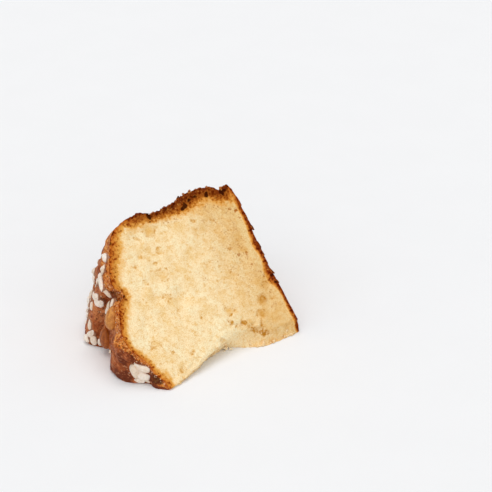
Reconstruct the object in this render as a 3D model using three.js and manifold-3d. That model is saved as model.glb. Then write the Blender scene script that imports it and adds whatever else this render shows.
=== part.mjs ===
// Wedge slice of a low, wide, glazed festive bread, lying on one of its two cut faces.
// Millimetres, +Z up. X runs along the axis of the whole loaf, from the glazed dome at
// low X to the flat base at high X. Y runs from the torn centre out to the side crust.
// The origin is on the table, under the middle of the slice.

import * as THREE from 'three';
import { mergeVertices } from 'three/addons/utils/BufferGeometryUtils.js';
import Module from 'manifold-3d';

const wasm = await Module();
wasm.setup();

// Driving dimensions

const WEDGE_ANGLE = THREE.MathUtils.degToRad(42.5);
const FOOT_CENTRE_X = 44.5;
const FOOT_CENTRE_Y = 56.5;

// Distances from the loaf's axis run out along each cut face. Pairs are the lower cut,
// which lies on the table, and the upper cut, which shows.
const LOAF_RADIUS = 109.6;
const LOAF_HEIGHT = 104.4;
const DOME_MIDDLE = 0.5;
const TIP_RADIUS = 1.1;
const SHOULDER_START = [65, 74];
const SHOULDER_DROP = [28.7, 28.5];
const TORN_RADIUS_AT_DOME = [1, 1.2];
const TORN_RADIUS_AT_BASE = [8, 12];

// Swellings of each edge: [middle, reach before it, reach after it, height] on the lower
// and on the upper cut. The dome's are its tip, its inner lobe and its outer ring.
const DOME_SWELLINGS = [
  [[7, 6, 6, 5], [12.5, 5, 5, 3]],
  [[26.7, 12, 27.5, 17.5], [37, 18, 25.5, 13.5]],
  [[77, 11.5, 19, 9.5], [76, 9, 8, 2.4]],
];
const SIDE_SWELLINGS = [
  [[40, 14, 16, 1], [44, 3.5, 19.5, -2.2]],
  [[80, 12, 15, 1.8], [77, 11, 15, 3]],
  [[96, 3, 4.7, -0.6], [96, 3, 4.7, -2.9]],
];
const BASE_SWELLINGS = [
  [[60, 14, 14, -0.6], [56, 12, 12, -1.1]],
  [[90, 12, 9, 0.6], [94, 9, 8, 1]],
];
const TORN_SWELLINGS = [
  [[53, 31.5, 15, 15.2], [67.5, 37, 19, 12.2]],
];

// Faces of the body are grids with this many steps, closer together near the edges.
const STEPS_ALONG = 28;
const STEPS_OUT = 32;
const STEPS_UP = 18;
const EDGE_CROWDING = 0.3;

// Relief. The crevice between the dome's lobes lies at CREVICE_AT on the two cuts and bows
// towards the side between them. Its notch reaches into the crust behind the skin.
const RING_HOLLOW = 3;
const CREVICE_AT = [0.495, 0.525];
const CREVICE_BOW = 0.07;
const CREVICE_DEPTH = 2.6;
const CREVICE_HALF_WIDTH = 0.028;
const CREVICE_NOTCH = 3.6;
const NOTCH_FADE = 10;
const DOME_WAVE = 1.1;
const CRUMB_WAVE = 0.7;
const SIDE_WAVE = 0.8;
const BASE_WAVE = 0.5;
const TORN_WAVE = 1.5;
const CRUST_THICKNESS = 3.5;
const CRUMB_SINK = 0.7;

// Lumps and hollows of the glaze: [v, t, radius, height].
const GLAZE_LUMPS = [
  [0.585, 0.42, 7, 2.2], [0.341, 0.73, 4, 1.2], [0.25, 0.3, 10, 1.2], [0.069, 0.78, 3, -2.2],
  [0.78, 0.6, 8, 1.4], [0.88, 0.25, 9, 1.2], [0.32, 0.06, 9, 3],
];
// Wide shallow hollows of the crumb in the upper face: [x, radius from the axis, radius, depth].
const CRUMB_HOLLOWS = [
  [26, 96, 5, 1.1], [33, 83, 6, 0.7], [27, 68, 7, 0.9], [21, 56, 5, 1], [37, 52, 6, 1.3],
  [64, 31, 5, 1.8], [74, 27, 5, 2], [84, 24, 4, 1.5], [58, 74, 7, 0.6], [80, 88, 6, 0.7],
];

// Sugar nibs that sit on the dome: [v, t, length, width, turn in degrees].
const NIBS = [
  [0.725, 0.945, 8.5, 5.8, 50], [0.672, 0.935, 6.5, 4.6, 85], [0.64, 0.82, 13, 4.4, 20],
  [0.591, 0.81, 9.4, 4.6, 0], [0.645, 0.56, 6.6, 5.2, 70], [0.612, 0.52, 7.4, 5.4, 55],
  [0.648, 0.4, 6.4, 4.2, 10], [0.715, 0.56, 4.6, 3.8, 20], [0.531, 0.72, 5.5, 3.6, -60],
  [0.514, 0.84, 6.4, 3.8, -50], [0.548, 0.57, 4.9, 3.4, -65], [0.612, 0.23, 6, 4.6, -60],
  [0.592, 0.14, 5.4, 4.2, 40], [0.606, 0.03, 5.8, 5.2, 30], [0.57, 0.062, 6.3, 4.6, -70],
  [0.545, 0.055, 6, 4.4, -85], [0.39, 0.2, 4.2, 3.4, 35], [0.164, 0.76, 7.4, 5, 20],
  [0.146, 0.45, 9.6, 4.8, 0], [0.18, 0.53, 7, 5.2, -70], [0.124, 0.17, 5.8, 3.8, 10],
];
// More nibs are strewn from these v outwards. A patch beside the upper cut stays bare.
const SHOULDER_NIBS = 10;
const SHOULDER_NIBS_FROM = 0.78;
const SMALL_NIBS = 14;
const SMALL_NIBS_FROM = 0.66;
const BARE_ABOVE_T = 0.6;
const BARE_WITHIN_V = 0.9;
const NIB_SINK = 0.48;

// Almonds: [name, v, t, length, width, thickness, turn in degrees, height of the middle].
const ALMONDS = [
  ['almond_upper', 0.45, 0.8, 14.5, 10, 8, -35, 1.6],
  ['almond_lower', 0.488, 0.25, 15.5, 10, 7, -82, 1.2],
  ['almond_fold', 0.268, 0.78, 16, 5.5, 6.5, 8, -1.6],
  ['almond_shoulder_low', 0.94, 0.2, 17.5, 10.5, 7, 85, -0.4],
  ['almond_shoulder_high', 0.945, 0.55, 17, 10.5, 6.5, 97, -0.6],
];
const ALMOND_GAP = 0.3;
const FLOOR_CLEARANCE = 0.4;

// A size at height t, between its value on the lower and on the upper cut.
function between([low, high], t) {
  return low + (high - low) * t;
}

// The height of all the swellings of an edge at one place along it.
function swell(at, swellings, t) {
  let height = 0;
  for (const [low, high] of swellings) {
    const [middle, before, after, top] = low.map((value, i) => between([value, high[i]], t));
    height += top * Math.exp(-(((at - middle) / (at < middle ? before : after)) ** 2));
  }
  return height;
}

// The dome's edge as (x, radius): nearly level, then a quarter ellipse for the shoulder.
function domeEdge(v, t) {
  const start = between(SHOULDER_START, t);
  const drop = between(SHOULDER_DROP, t);
  const reach = LOAF_RADIUS - start;
  const split = start / (start + (reach + drop) * 0.785);
  const level = Math.min(1, v / split);
  const turn = (THREE.MathUtils.clamp((v - split) / (1 - split), 0, 1) * Math.PI) / 2;
  const radius = TIP_RADIUS + (start - TIP_RADIUS) * level + reach * Math.sin(turn);
  const x = DOME_MIDDLE + (drop - DOME_MIDDLE) * (1 - Math.cos(turn));
  return new THREE.Vector2(x - swell(radius, DOME_SWELLINGS, t), radius);
}

function sideEdge(u, t) {
  const x = THREE.MathUtils.lerp(between(SHOULDER_DROP, t), LOAF_HEIGHT, u);
  return new THREE.Vector2(x, LOAF_RADIUS + swell(x, SIDE_SWELLINGS, t));
}

function baseEdge(v, t) {
  const radius = THREE.MathUtils.lerp(between(TORN_RADIUS_AT_BASE, t), LOAF_RADIUS, v);
  return new THREE.Vector2(LOAF_HEIGHT + swell(radius, BASE_SWELLINGS, t), radius);
}

function tornEdge(u, t) {
  const x = THREE.MathUtils.lerp(DOME_MIDDLE, LOAF_HEIGHT, u);
  const level = THREE.MathUtils.lerp(between(TORN_RADIUS_AT_DOME, t), between(TORN_RADIUS_AT_BASE, t), u);
  return new THREE.Vector2(x, level + swell(x, TORN_SWELLINGS, t));
}

// How much of the dome's outer ring sinks between the two cuts, 0 to 1.
function ringHollow(v) {
  const across = THREE.MathUtils.clamp((v - 0.5) / 0.5, 0, 1);
  return Math.max(0, Math.sin(Math.PI * across)) ** 0.8;
}

// How deep in the crevice between the dome's two lobes a place is, 0 to 1.
function creviceAt(v, t) {
  const middle = between(CREVICE_AT, t) + CREVICE_BOW * Math.sin(Math.PI * t);
  return Math.exp(-(((v - middle) / CREVICE_HALF_WIDTH) ** 2));
}

// The section at height t as a patch stretched over its four edges: u runs from the dome
// to the base, v from the torn centre to the side crust, and t from the lower cut to the
// upper one, round the loaf's axis.
function pointAt(u, v, t) {
  const section = new THREE.Vector2();
  section.addScaledVector(domeEdge(v, t), 1 - u).addScaledVector(baseEdge(v, t), u);
  section.addScaledVector(tornEdge(u, t), 1 - v).addScaledVector(sideEdge(u, t), v);
  section.addScaledVector(domeEdge(0, t), -(1 - u) * (1 - v));
  section.addScaledVector(domeEdge(1, t), -(1 - u) * v);
  section.addScaledVector(baseEdge(0, t), -u * (1 - v));
  section.addScaledVector(baseEdge(1, t), -u * v);
  const sunk = (1 - u) ** 3 * ringHollow(v) * Math.sin(Math.PI * t) * RING_HOLLOW;
  const notch = (1 - u) ** NOTCH_FADE * creviceAt(v, t) * CREVICE_NOTCH;
  const angle = WEDGE_ANGLE * t;
  return new THREE.Vector3(
    section.x + sunk + notch,
    section.y * Math.cos(angle),
    section.y * Math.sin(angle),
  );
}

// Smooth uneven swell of about -1 to 1, from six waves that run in different directions.
function waves(p, length, seed) {
  let sum = 0;
  for (let k = 0; k < 6; k += 1) {
    const turn = 2.399963 * k + seed;
    const rise = -1 + (2 * k + 1) / 6;
    const flat = Math.sqrt(1 - rise * rise);
    const along = flat * (p.x * Math.cos(turn) + p.y * Math.sin(turn)) + p.z * rise;
    const stretch = 0.75 + 0.1 * ((k * 5) % 6);
    sum += Math.sin((2 * Math.PI * along * stretch) / length + 1.7 * k * k + 3.1 * seed);
  }
  return sum / 3;
}

// 1 at a middle and 0 beyond a radius, smoothly.
function mound(distance, radius) {
  const r = Math.min(1, distance / radius);
  return (1 - r * r) ** 2;
}

const lumps = GLAZE_LUMPS.map(([v, t, radius, height]) => {
  return { middle: pointAt(0, v, t), radius, height };
});

// Outward relief of the glazed dome.
function domeRelief(p, v, t) {
  let height = DOME_WAVE * (0.7 * waves(p, 17, 1) + 0.45 * waves(p, 9, 2));
  height -= CREVICE_DEPTH * creviceAt(v, t);
  for (const lump of lumps) {
    height += lump.height * mound(p.distanceTo(lump.middle), lump.radius * 1.4);
  }
  return height;
}

// Outward relief of the upper cut face: soft swell, hollows, and crumb that has sunk a
// little behind the firmer crust.
function crumbRelief(p, u, v) {
  const radius = Math.hypot(p.y, p.z);
  let height = CRUMB_WAVE * (0.7 * waves(p, 34, 3) + 0.4 * waves(p, 14, 4));
  for (const [x, r, size, depth] of CRUMB_HOLLOWS) {
    height -= depth * mound(Math.hypot(p.x - x, radius - r), size * 1.4);
  }
  const inside = Math.min(u * 108, (1 - v) * 100, (1 - u) * 160);
  const behind = THREE.MathUtils.smoothstep(inside, CRUST_THICKNESS * 0.6, CRUST_THICKNESS * 1.8);
  return height - CRUMB_SINK * behind;
}

// Outward relief anywhere on the skin. Beside an edge the two faces' reliefs blend.
function relief(p, u, v, t) {
  const near = (distance) => Math.exp(-((distance / 0.03) ** 2));
  const faces = [
    [near(u), () => domeRelief(p, v, t)],
    [near(1 - u), () => BASE_WAVE * waves(p, 21, 5)],
    [near(v), () => TORN_WAVE * (0.6 * waves(p, 12, 6) + 0.4 * waves(p, 6.5, 7)) * THREE.MathUtils.smoothstep(u, 0, 0.12)],
    [near(1 - v), () => SIDE_WAVE * (0.7 * waves(p, 26, 8) + 0.5 * waves(p, 10, 9))],
    [near(1 - t), () => crumbRelief(p, u, v)],
    [near(t), () => 0],
  ];
  let sum = 0;
  let weight = 0;
  for (const [share, height] of faces) {
    if (share > 0.01) {
      sum += share * height();
      weight += share;
    }
  }
  return sum / weight;
}

// A step number as a place from 0 to 1, with the steps closer together near both ends.
function spaced(step, steps) {
  const s = step / steps;
  return s - (EDGE_CROWDING * Math.sin(2 * Math.PI * s)) / (2 * Math.PI);
}

// A closed solid from triangles given as vertex positions and indices.
function toSolid(geometry) {
  const bare = geometry.clone();
  bare.deleteAttribute('normal');
  bare.deleteAttribute('uv');
  const merged = mergeVertices(bare, 1e-4);
  const index = merged.index.array;
  const kept = [];
  for (let i = 0; i < index.length; i += 3) {
    const [a, b, c] = [index[i], index[i + 1], index[i + 2]];
    if (a !== b && b !== c && c !== a) {
      kept.push(a, b, c);
    }
  }
  const mesh = new wasm.Mesh({
    numProp: 3,
    vertProperties: new Float32Array(merged.attributes.position.array),
    triVerts: new Uint32Array(kept),
  });
  return new wasm.Manifold(mesh);
}

function toGeometry(solid) {
  const mesh = solid.getMesh();
  const geometry = new THREE.BufferGeometry();
  geometry.setAttribute('position', new THREE.BufferAttribute(new Float32Array(mesh.vertProperties), 3));
  geometry.setIndex(new THREE.BufferAttribute(new Uint32Array(mesh.triVerts), 1));
  geometry.computeVertexNormals();
  return geometry;
}

// The body's skin: five curved faces as grids, and the flat lower cut as one polygon.
function bodyGeometry() {
  const places = new Map();
  const positions = [];
  const params = [];
  const index = [];
  const vertex = (i, j, k) => {
    const key = `${i},${j},${k}`;
    if (!places.has(key)) {
      const [u, v, t] = [spaced(i, STEPS_ALONG), spaced(j, STEPS_OUT), spaced(k, STEPS_UP)];
      const p = pointAt(u, v, t);
      places.set(key, params.length);
      positions.push(p.x, p.y, p.z);
      params.push([u, v, t]);
    }
    return places.get(key);
  };
  const patch = (columns, rows, place, flip) => {
    for (let a = 0; a < columns; a += 1) {
      for (let b = 0; b < rows; b += 1) {
        const corners = [place(a, b), place(a + 1, b), place(a + 1, b + 1), place(a, b + 1)];
        const [p, q, r, s] = corners.map((c) => vertex(...c));
        const quads = (a + b) % 2 ? [[p, q, r], [p, r, s]] : [[p, q, s], [q, r, s]];
        for (const [d, e, f] of quads) {
          index.push(...(flip ? [d, f, e] : [d, e, f]));
        }
      }
    }
  };
  patch(STEPS_OUT, STEPS_UP, (a, b) => [0, a, b], true);
  patch(STEPS_OUT, STEPS_UP, (a, b) => [STEPS_ALONG, a, b], false);
  patch(STEPS_ALONG, STEPS_UP, (a, b) => [a, 0, b], false);
  patch(STEPS_ALONG, STEPS_UP, (a, b) => [a, STEPS_OUT, b], true);
  patch(STEPS_ALONG, STEPS_OUT, (a, b) => [a, b, STEPS_UP], false);

  const rim = [];
  for (let j = 0; j < STEPS_OUT; j += 1) rim.push(vertex(0, j, 0));
  for (let i = 0; i < STEPS_ALONG; i += 1) rim.push(vertex(i, STEPS_OUT, 0));
  for (let j = STEPS_OUT; j > 0; j -= 1) rim.push(vertex(STEPS_ALONG, j, 0));
  for (let i = STEPS_ALONG; i > 0; i -= 1) rim.push(vertex(i, 0, 0));

  const geometry = new THREE.BufferGeometry();
  geometry.setAttribute('position', new THREE.Float32BufferAttribute(positions, 3));
  geometry.setIndex(index);
  geometry.computeVertexNormals();
  const position = geometry.attributes.position;
  const normal = geometry.attributes.normal;
  const p = new THREE.Vector3();
  const n = new THREE.Vector3();
  params.forEach(([u, v, t], i) => {
    p.fromBufferAttribute(position, i);
    n.fromBufferAttribute(normal, i);
    p.addScaledVector(n, relief(p, u, v, t));
    position.setXYZ(i, p.x, p.y, t === 0 ? 0 : Math.max(p.z, 0));
  });
  const contour = rim.map((i) => new THREE.Vector2(position.getX(i), position.getY(i)));
  const floor = THREE.ShapeUtils.triangulateShape(contour, []);
  for (const [a, b, c] of floor) {
    const facesDown = THREE.ShapeUtils.isClockWise([contour[a], contour[b], contour[c]]);
    index.push(...(facesDown ? [rim[a], rim[b], rim[c]] : [rim[a], rim[c], rim[b]]));
  }
  geometry.setIndex(index);
  return geometry;
}

// Where a topping sits on the dome, and which way is out, away from the centre and round.
function seat(v, t) {
  const step = 0.004;
  const p = pointAt(0, v, t);
  const out = pointAt(0, v + step, t).sub(pointAt(0, v - step, t)).normalize();
  const round = pointAt(0, v, t + step).sub(pointAt(0, v, t - step)).normalize();
  const normal = new THREE.Vector3().crossVectors(round, out).normalize();
  const across = new THREE.Vector3().crossVectors(normal, out);
  p.addScaledVector(normal, relief(p, 0, v, t));
  return { p, normal, out, across };
}

// Places a shape made along X, with Z up, on the dome: turned, and lifted along the normal.
function placeOnDome(geometry, v, t, turn, lift) {
  const { p, normal, out, across } = seat(v, t);
  const angle = THREE.MathUtils.degToRad(turn);
  const x = out.clone().multiplyScalar(Math.cos(angle)).addScaledVector(across, Math.sin(angle));
  const y = new THREE.Vector3().crossVectors(normal, x);
  const frame = new THREE.Matrix4().makeBasis(x, y, normal);
  frame.setPosition(p.addScaledVector(normal, lift));
  geometry.applyMatrix4(frame);
  geometry.computeBoundingBox();
  geometry.translate(0, 0, Math.max(0, FLOOR_CLEARANCE - geometry.boundingBox.min.z));
  return geometry;
}

// One sugar nib: a small blunt stone, squarer than an egg and a little uneven.
function nibGeometry(length, width, height, seed) {
  const stone = new THREE.SphereGeometry(1, 5, 4);
  const position = stone.attributes.position;
  const p = new THREE.Vector3();
  const blunt = (value) => Math.sign(value) * Math.abs(value) ** 0.8;
  for (let i = 0; i < position.count; i += 1) {
    p.fromBufferAttribute(position, i);
    const uneven = 1 + 0.14 * waves(p, 1.7, seed);
    const [x, y, z] = [blunt(p.y), blunt(p.x), blunt(p.z)].map((value) => value * uneven);
    position.setXYZ(i, (x * length) / 2, (-y * width) / 2, (z * height) / 2);
  }
  return stone;
}

// One almond along X: blunt at one end and pointed at the other.
function almondGeometry(length, width, thickness, grow) {
  const nut = new THREE.SphereGeometry(1, 12, 9);
  const position = nut.attributes.position;
  for (let i = 0; i < position.count; i += 1) {
    const [x, y, z] = [position.getX(i), position.getY(i), position.getZ(i)];
    const s = (1 - y) / 2;
    const ring = Math.sqrt(Math.max(1e-12, 1 - y * y));
    const girth = (2.32 * Math.sqrt(s) * Math.max(0, 1 - s) ** 0.75) / ring;
    const half = [length / 2 + grow, width / 2 + grow, thickness / 2 + grow];
    position.setXYZ(i, -y * half[0], -x * girth * half[1], -z * girth * half[2]);
  }
  return nut;
}

// A plain repeatable series of numbers between 0 and 1.
function series(start) {
  let state = start;
  return () => {
    state = (state * 16807) % 2147483647;
    return state / 2147483647;
  };
}

// All the nibs: those listed, then large and small ones strewn where there is room.
function strewnNibs() {
  const nibs = NIBS.map(([v, t, length, width, turn]) => ({ v, t, length, width, turn }));
  const taken = nibs.map(({ v, t, length }) => ({ p: pointAt(0, v, t), reach: length / 2 }));
  for (const [, v, t, length, width] of ALMONDS) {
    taken.push({ p: pointAt(0, v, t), reach: (length + width) / 4 + 0.6 });
  }
  const next = series(4307);
  const strew = (count, vFrom, vTo, small, large, clear) => {
    let placed = 0;
    for (let tries = 0; placed < count && tries < 900; tries += 1) {
      const v = vFrom + (vTo - vFrom) * next();
      const t = 0.06 + 0.86 * next();
      const length = large - (large - small) * (placed / count) * (0.7 + 0.3 * next());
      const width = length * (0.62 + 0.25 * next());
      const turn = 180 * next() - 90;
      const p = pointAt(0, v, t);
      const bare = t > BARE_ABOVE_T && v < BARE_WITHIN_V;
      const free = taken.every((other) => p.distanceTo(other.p) > other.reach + length / 2 + clear);
      if (free && !bare) {
        nibs.push({ v, t, length, width, turn });
        taken.push({ p, reach: length / 2 });
        placed += 1;
      }
    }
  };
  strew(SHOULDER_NIBS, SHOULDER_NIBS_FROM, 0.975, 4.4, 7, 0.4);
  strew(SMALL_NIBS, SMALL_NIBS_FROM, 0.97, 2.4, 4, 0.5);
  return nibs;
}

const almonds = ALMONDS.map(([name, v, t, length, width, thickness, turn, lift]) => {
  const make = (grow) => {
    const nut = almondGeometry(length, width, thickness, grow);
    return toSolid(placeOnDome(nut, v, t, turn, lift));
  };
  return { name, nut: make(0), room: make(ALMOND_GAP) };
});

let body = toSolid(bodyGeometry());
strewnNibs().forEach(({ v, t, length, width, turn }, i) => {
  const height = width * 0.9;
  const nib = nibGeometry(length, width, height, i);
  body = body.add(toSolid(placeOnDome(nib, v, t, turn, height * (0.5 - NIB_SINK))));
});
for (const { room } of almonds) {
  body = body.subtract(room);
}

// A nib that only touches a hollow of the glaze would be loose, so it is left out.
body = body.decompose().reduce((most, piece) => (piece.volume() > most.volume() ? piece : most));

const crust = new THREE.MeshStandardMaterial({ color: '#c98f4e', roughness: 0.8, metalness: 0 });
crust.name = 'crumb, crust, glaze and sugar';
const skin = new THREE.MeshStandardMaterial({ color: '#9a5a30', roughness: 0.5, metalness: 0 });
skin.name = 'almond skin';

const slice = new THREE.Group();
const bread = new THREE.Mesh(toGeometry(body), crust);
bread.name = 'slice';
slice.add(bread);
for (const { name, nut } of almonds) {
  const almond = new THREE.Mesh(toGeometry(nut), skin);
  almond.name = name;
  slice.add(almond);
}
slice.position.set(-FOOT_CENTRE_X, -FOOT_CENTRE_Y, 0);

export default slice;
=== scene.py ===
"""Looks of a wedge slice of a low, glazed festive bread that lies on one cut face.

Lengths are millimetres while shapes are worked out, and metres once they are in a mesh. X runs along the
axis of the whole loaf from the glazed dome to the flat base, Y from the torn centre out to the side crust,
and Z up. A place on the slice is (u, v, t): u from dome to base, v from the centre to the side, t from the
lower cut to the upper one.
"""

import logging
from collections.abc import Callable
from dataclasses import dataclass, replace
from enum import Enum

import bpy
import numpy as np
from mathutils import Matrix, Vector
from mathutils.bvhtree import BVHTree


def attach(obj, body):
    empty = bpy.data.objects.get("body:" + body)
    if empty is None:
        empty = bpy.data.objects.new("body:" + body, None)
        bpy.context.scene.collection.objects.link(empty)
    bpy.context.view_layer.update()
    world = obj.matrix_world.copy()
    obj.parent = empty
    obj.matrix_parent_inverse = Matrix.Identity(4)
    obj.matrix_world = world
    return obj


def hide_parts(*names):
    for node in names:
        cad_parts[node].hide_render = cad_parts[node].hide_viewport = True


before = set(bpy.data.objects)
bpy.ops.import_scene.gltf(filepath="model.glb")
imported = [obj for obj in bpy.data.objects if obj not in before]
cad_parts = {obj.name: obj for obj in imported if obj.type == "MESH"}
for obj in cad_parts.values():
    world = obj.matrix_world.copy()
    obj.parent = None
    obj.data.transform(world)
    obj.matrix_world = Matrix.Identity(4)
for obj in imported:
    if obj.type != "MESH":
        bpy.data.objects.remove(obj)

Array = np.ndarray
Tree = bpy.types.NodeTree
Node = bpy.types.Node
Object = bpy.types.Object

log = logging.getLogger("slice")

MM = 0.001
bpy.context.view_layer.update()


class Face(Enum):
    """The six faces of the slice, by the material that each one shows."""

    DOME = 0
    BASE = 1
    SIDE = 2
    TORN = 3
    UPPER = 4
    LOWER = 5


# Numbers that repeat

SERIES_FACTOR = 16807
SERIES_SPAN = 2**31 - 1
CORNER_FACTORS = (0x9E3779B1, 0x85EBCA77, 0xC2B2AE3D)
SEED_FACTOR = 0x27D4EB2F
MIXING_ROUNDS = ((15, 0x2C1B3C6D), (12, 0x297A2D39))
LAST_SHIFT = 15
WORD_SPAN = 2**32
WAVE_COUNT = 6
GOLDEN_ANGLE = 2.399963


def series(start: int) -> Callable[[], float]:
    """A plain repeatable series: each state is the last times a factor, less whole multiples of 2^31 - 1.

    Args:
        start: the first state.

    Returns:
        A function that gives the next number between 0 and 1.
    """
    state = start

    def following() -> float:
        """The next number of the series."""
        nonlocal state
        state = (state * SERIES_FACTOR) % SERIES_SPAN
        return state / SERIES_SPAN

    return following


def hashed(corner: Array, seed: int) -> Array:
    """A number between 0 and 1 for each whole-number corner, by mixing the bits of its three parts.

    Args:
        corner: whole numbers, shape (..., 3).
        seed: picks another set of numbers.

    Returns:
        Numbers between 0 and 1, shape (...).
    """
    c = corner.astype(np.int64).astype(np.uint32)
    h = np.uint32(seed * SEED_FACTOR % WORD_SPAN)
    for part, factor in enumerate(CORNER_FACTORS):
        h = h ^ c[..., part] * np.uint32(factor)
    for shift, factor in MIXING_ROUNDS:
        h = (h ^ (h >> np.uint32(shift))) * np.uint32(factor)
    return (h ^ (h >> np.uint32(LAST_SHIFT))) / float(WORD_SPAN)


def smooth_noise(p: Array, size: float, seed: int) -> Array:
    """Numbers drawn at the corners of cubes of one size, blended smoothly in between.

    Args:
        p: places in mm, shape (n, 3).
        size: side of the cubes in mm.
        seed: picks another set of numbers.

    Returns:
        About -1 to 1 at each place.
    """
    q = p / size
    low = np.floor(q)
    f = q - low
    f = f * f * (3 - 2 * f)
    total = np.zeros(len(p))
    for step in np.ndindex(2, 2, 2):
        share = np.prod(np.where(np.array(step), f, 1 - f), axis=1)
        total += share * hashed(low + np.array(step), seed)
    return total * 2 - 1


def rough_noise(p: Array, size: float, octaves: int, seed: int) -> Array:
    """Smooth noise with finer and fainter noise on it: each octave is half as large and half as strong."""
    parts = [smooth_noise(p, size / 2**k, seed + 17 * k) / 2**k for k in range(octaves)]
    return sum(parts) / (2 - 0.5 ** (octaves - 1))


def cells(p: Array, size: float, seed: int) -> tuple[Array, Array]:
    """One point is strewn in each cube of a lattice; this finds the nearest to each place.

    Args:
        p: places in mm, shape (n, 3).
        size: side of the cubes in mm.
        seed: picks another set of points.

    Returns:
        The distance to the nearest point as a share of size, and that point's own number from 0 to 1.
    """
    q = p / size
    low = np.floor(q)
    nearest, own = np.full(len(p), 9.0), np.zeros(len(p))
    for step in np.ndindex(3, 3, 3):
        cube = low + np.array(step) - 1
        point = cube + np.stack([hashed(cube, seed + k) for k in (1, 2, 3)], axis=1)
        away = np.linalg.norm(q - point, axis=1)
        closer = away < nearest
        nearest = np.where(closer, away, nearest)
        own = np.where(closer, hashed(cube, seed + 4), own)
    return nearest, own


def waves(p: Array, length: float, seed: float) -> Array:
    """Smooth uneven swell: the sum of six sine waves whose directions are spread evenly over a sphere.

    Each wave's direction is turned from the last one's by the golden angle and rises by a third more, and
    its length is the given one over a number from 0.75 to 1.25.

    Args:
        p: places in mm, shape (..., 3).
        length: the middle wavelength in mm.
        seed: turns and shifts the waves.

    Returns:
        About -1 to 1 at each place.
    """
    total = 0.0
    for k in range(WAVE_COUNT):
        turn, rise = GOLDEN_ANGLE * k + seed, -1 + (2 * k + 1) / WAVE_COUNT
        flat = np.sqrt(1 - rise * rise)
        along = flat * (p[..., 0] * np.cos(turn) + p[..., 1] * np.sin(turn)) + p[..., 2] * rise
        phase = 2 * np.pi * along * (0.75 + 0.1 * (k * 5 % WAVE_COUNT)) / length
        total = total + np.sin(phase + 1.7 * k * k + 3.1 * seed)
    return total / 3


def smoothstep(value: Array, low: float, high: float) -> Array:
    """0 below low and 1 above high, with a smooth rise between them."""
    s = np.clip((value - low) / (high - low), 0, 1)
    return s * s * (3 - 2 * s)


def mound(distance: Array, radius: float) -> Array:
    """1 at a middle and 0 beyond a radius, smoothly: (1 - r squared) squared."""
    return (1 - np.minimum(1, distance / radius) ** 2) ** 2


def bell(at: Array, middle: float, reach: float) -> Array:
    """1 at a middle, falling off on both sides as the normal curve does."""
    return np.exp(-(((at - middle) / reach) ** 2))


@dataclass(frozen=True)
class Roughness:
    """A rough noise with its strength, for relief in mm or to fray a pattern."""

    strength: float
    size: float
    octaves: int
    seed: int

    def at(self, p: Array) -> Array:
        """Its value at each place."""
        return self.strength * rough_noise(p, self.size, self.octaves, self.seed)

    def drift(self, p: Array) -> Array:
        """A way in mm for each place, each of its three parts a noise of its own."""
        parts = [rough_noise(p, self.size, self.octaves, self.seed + k) for k in range(3)]
        return self.strength * np.stack(parts, axis=1)


# The form

# A lump or a hollow has faded out at this many times its radius.
FADE_OUT = 1.4


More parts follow.
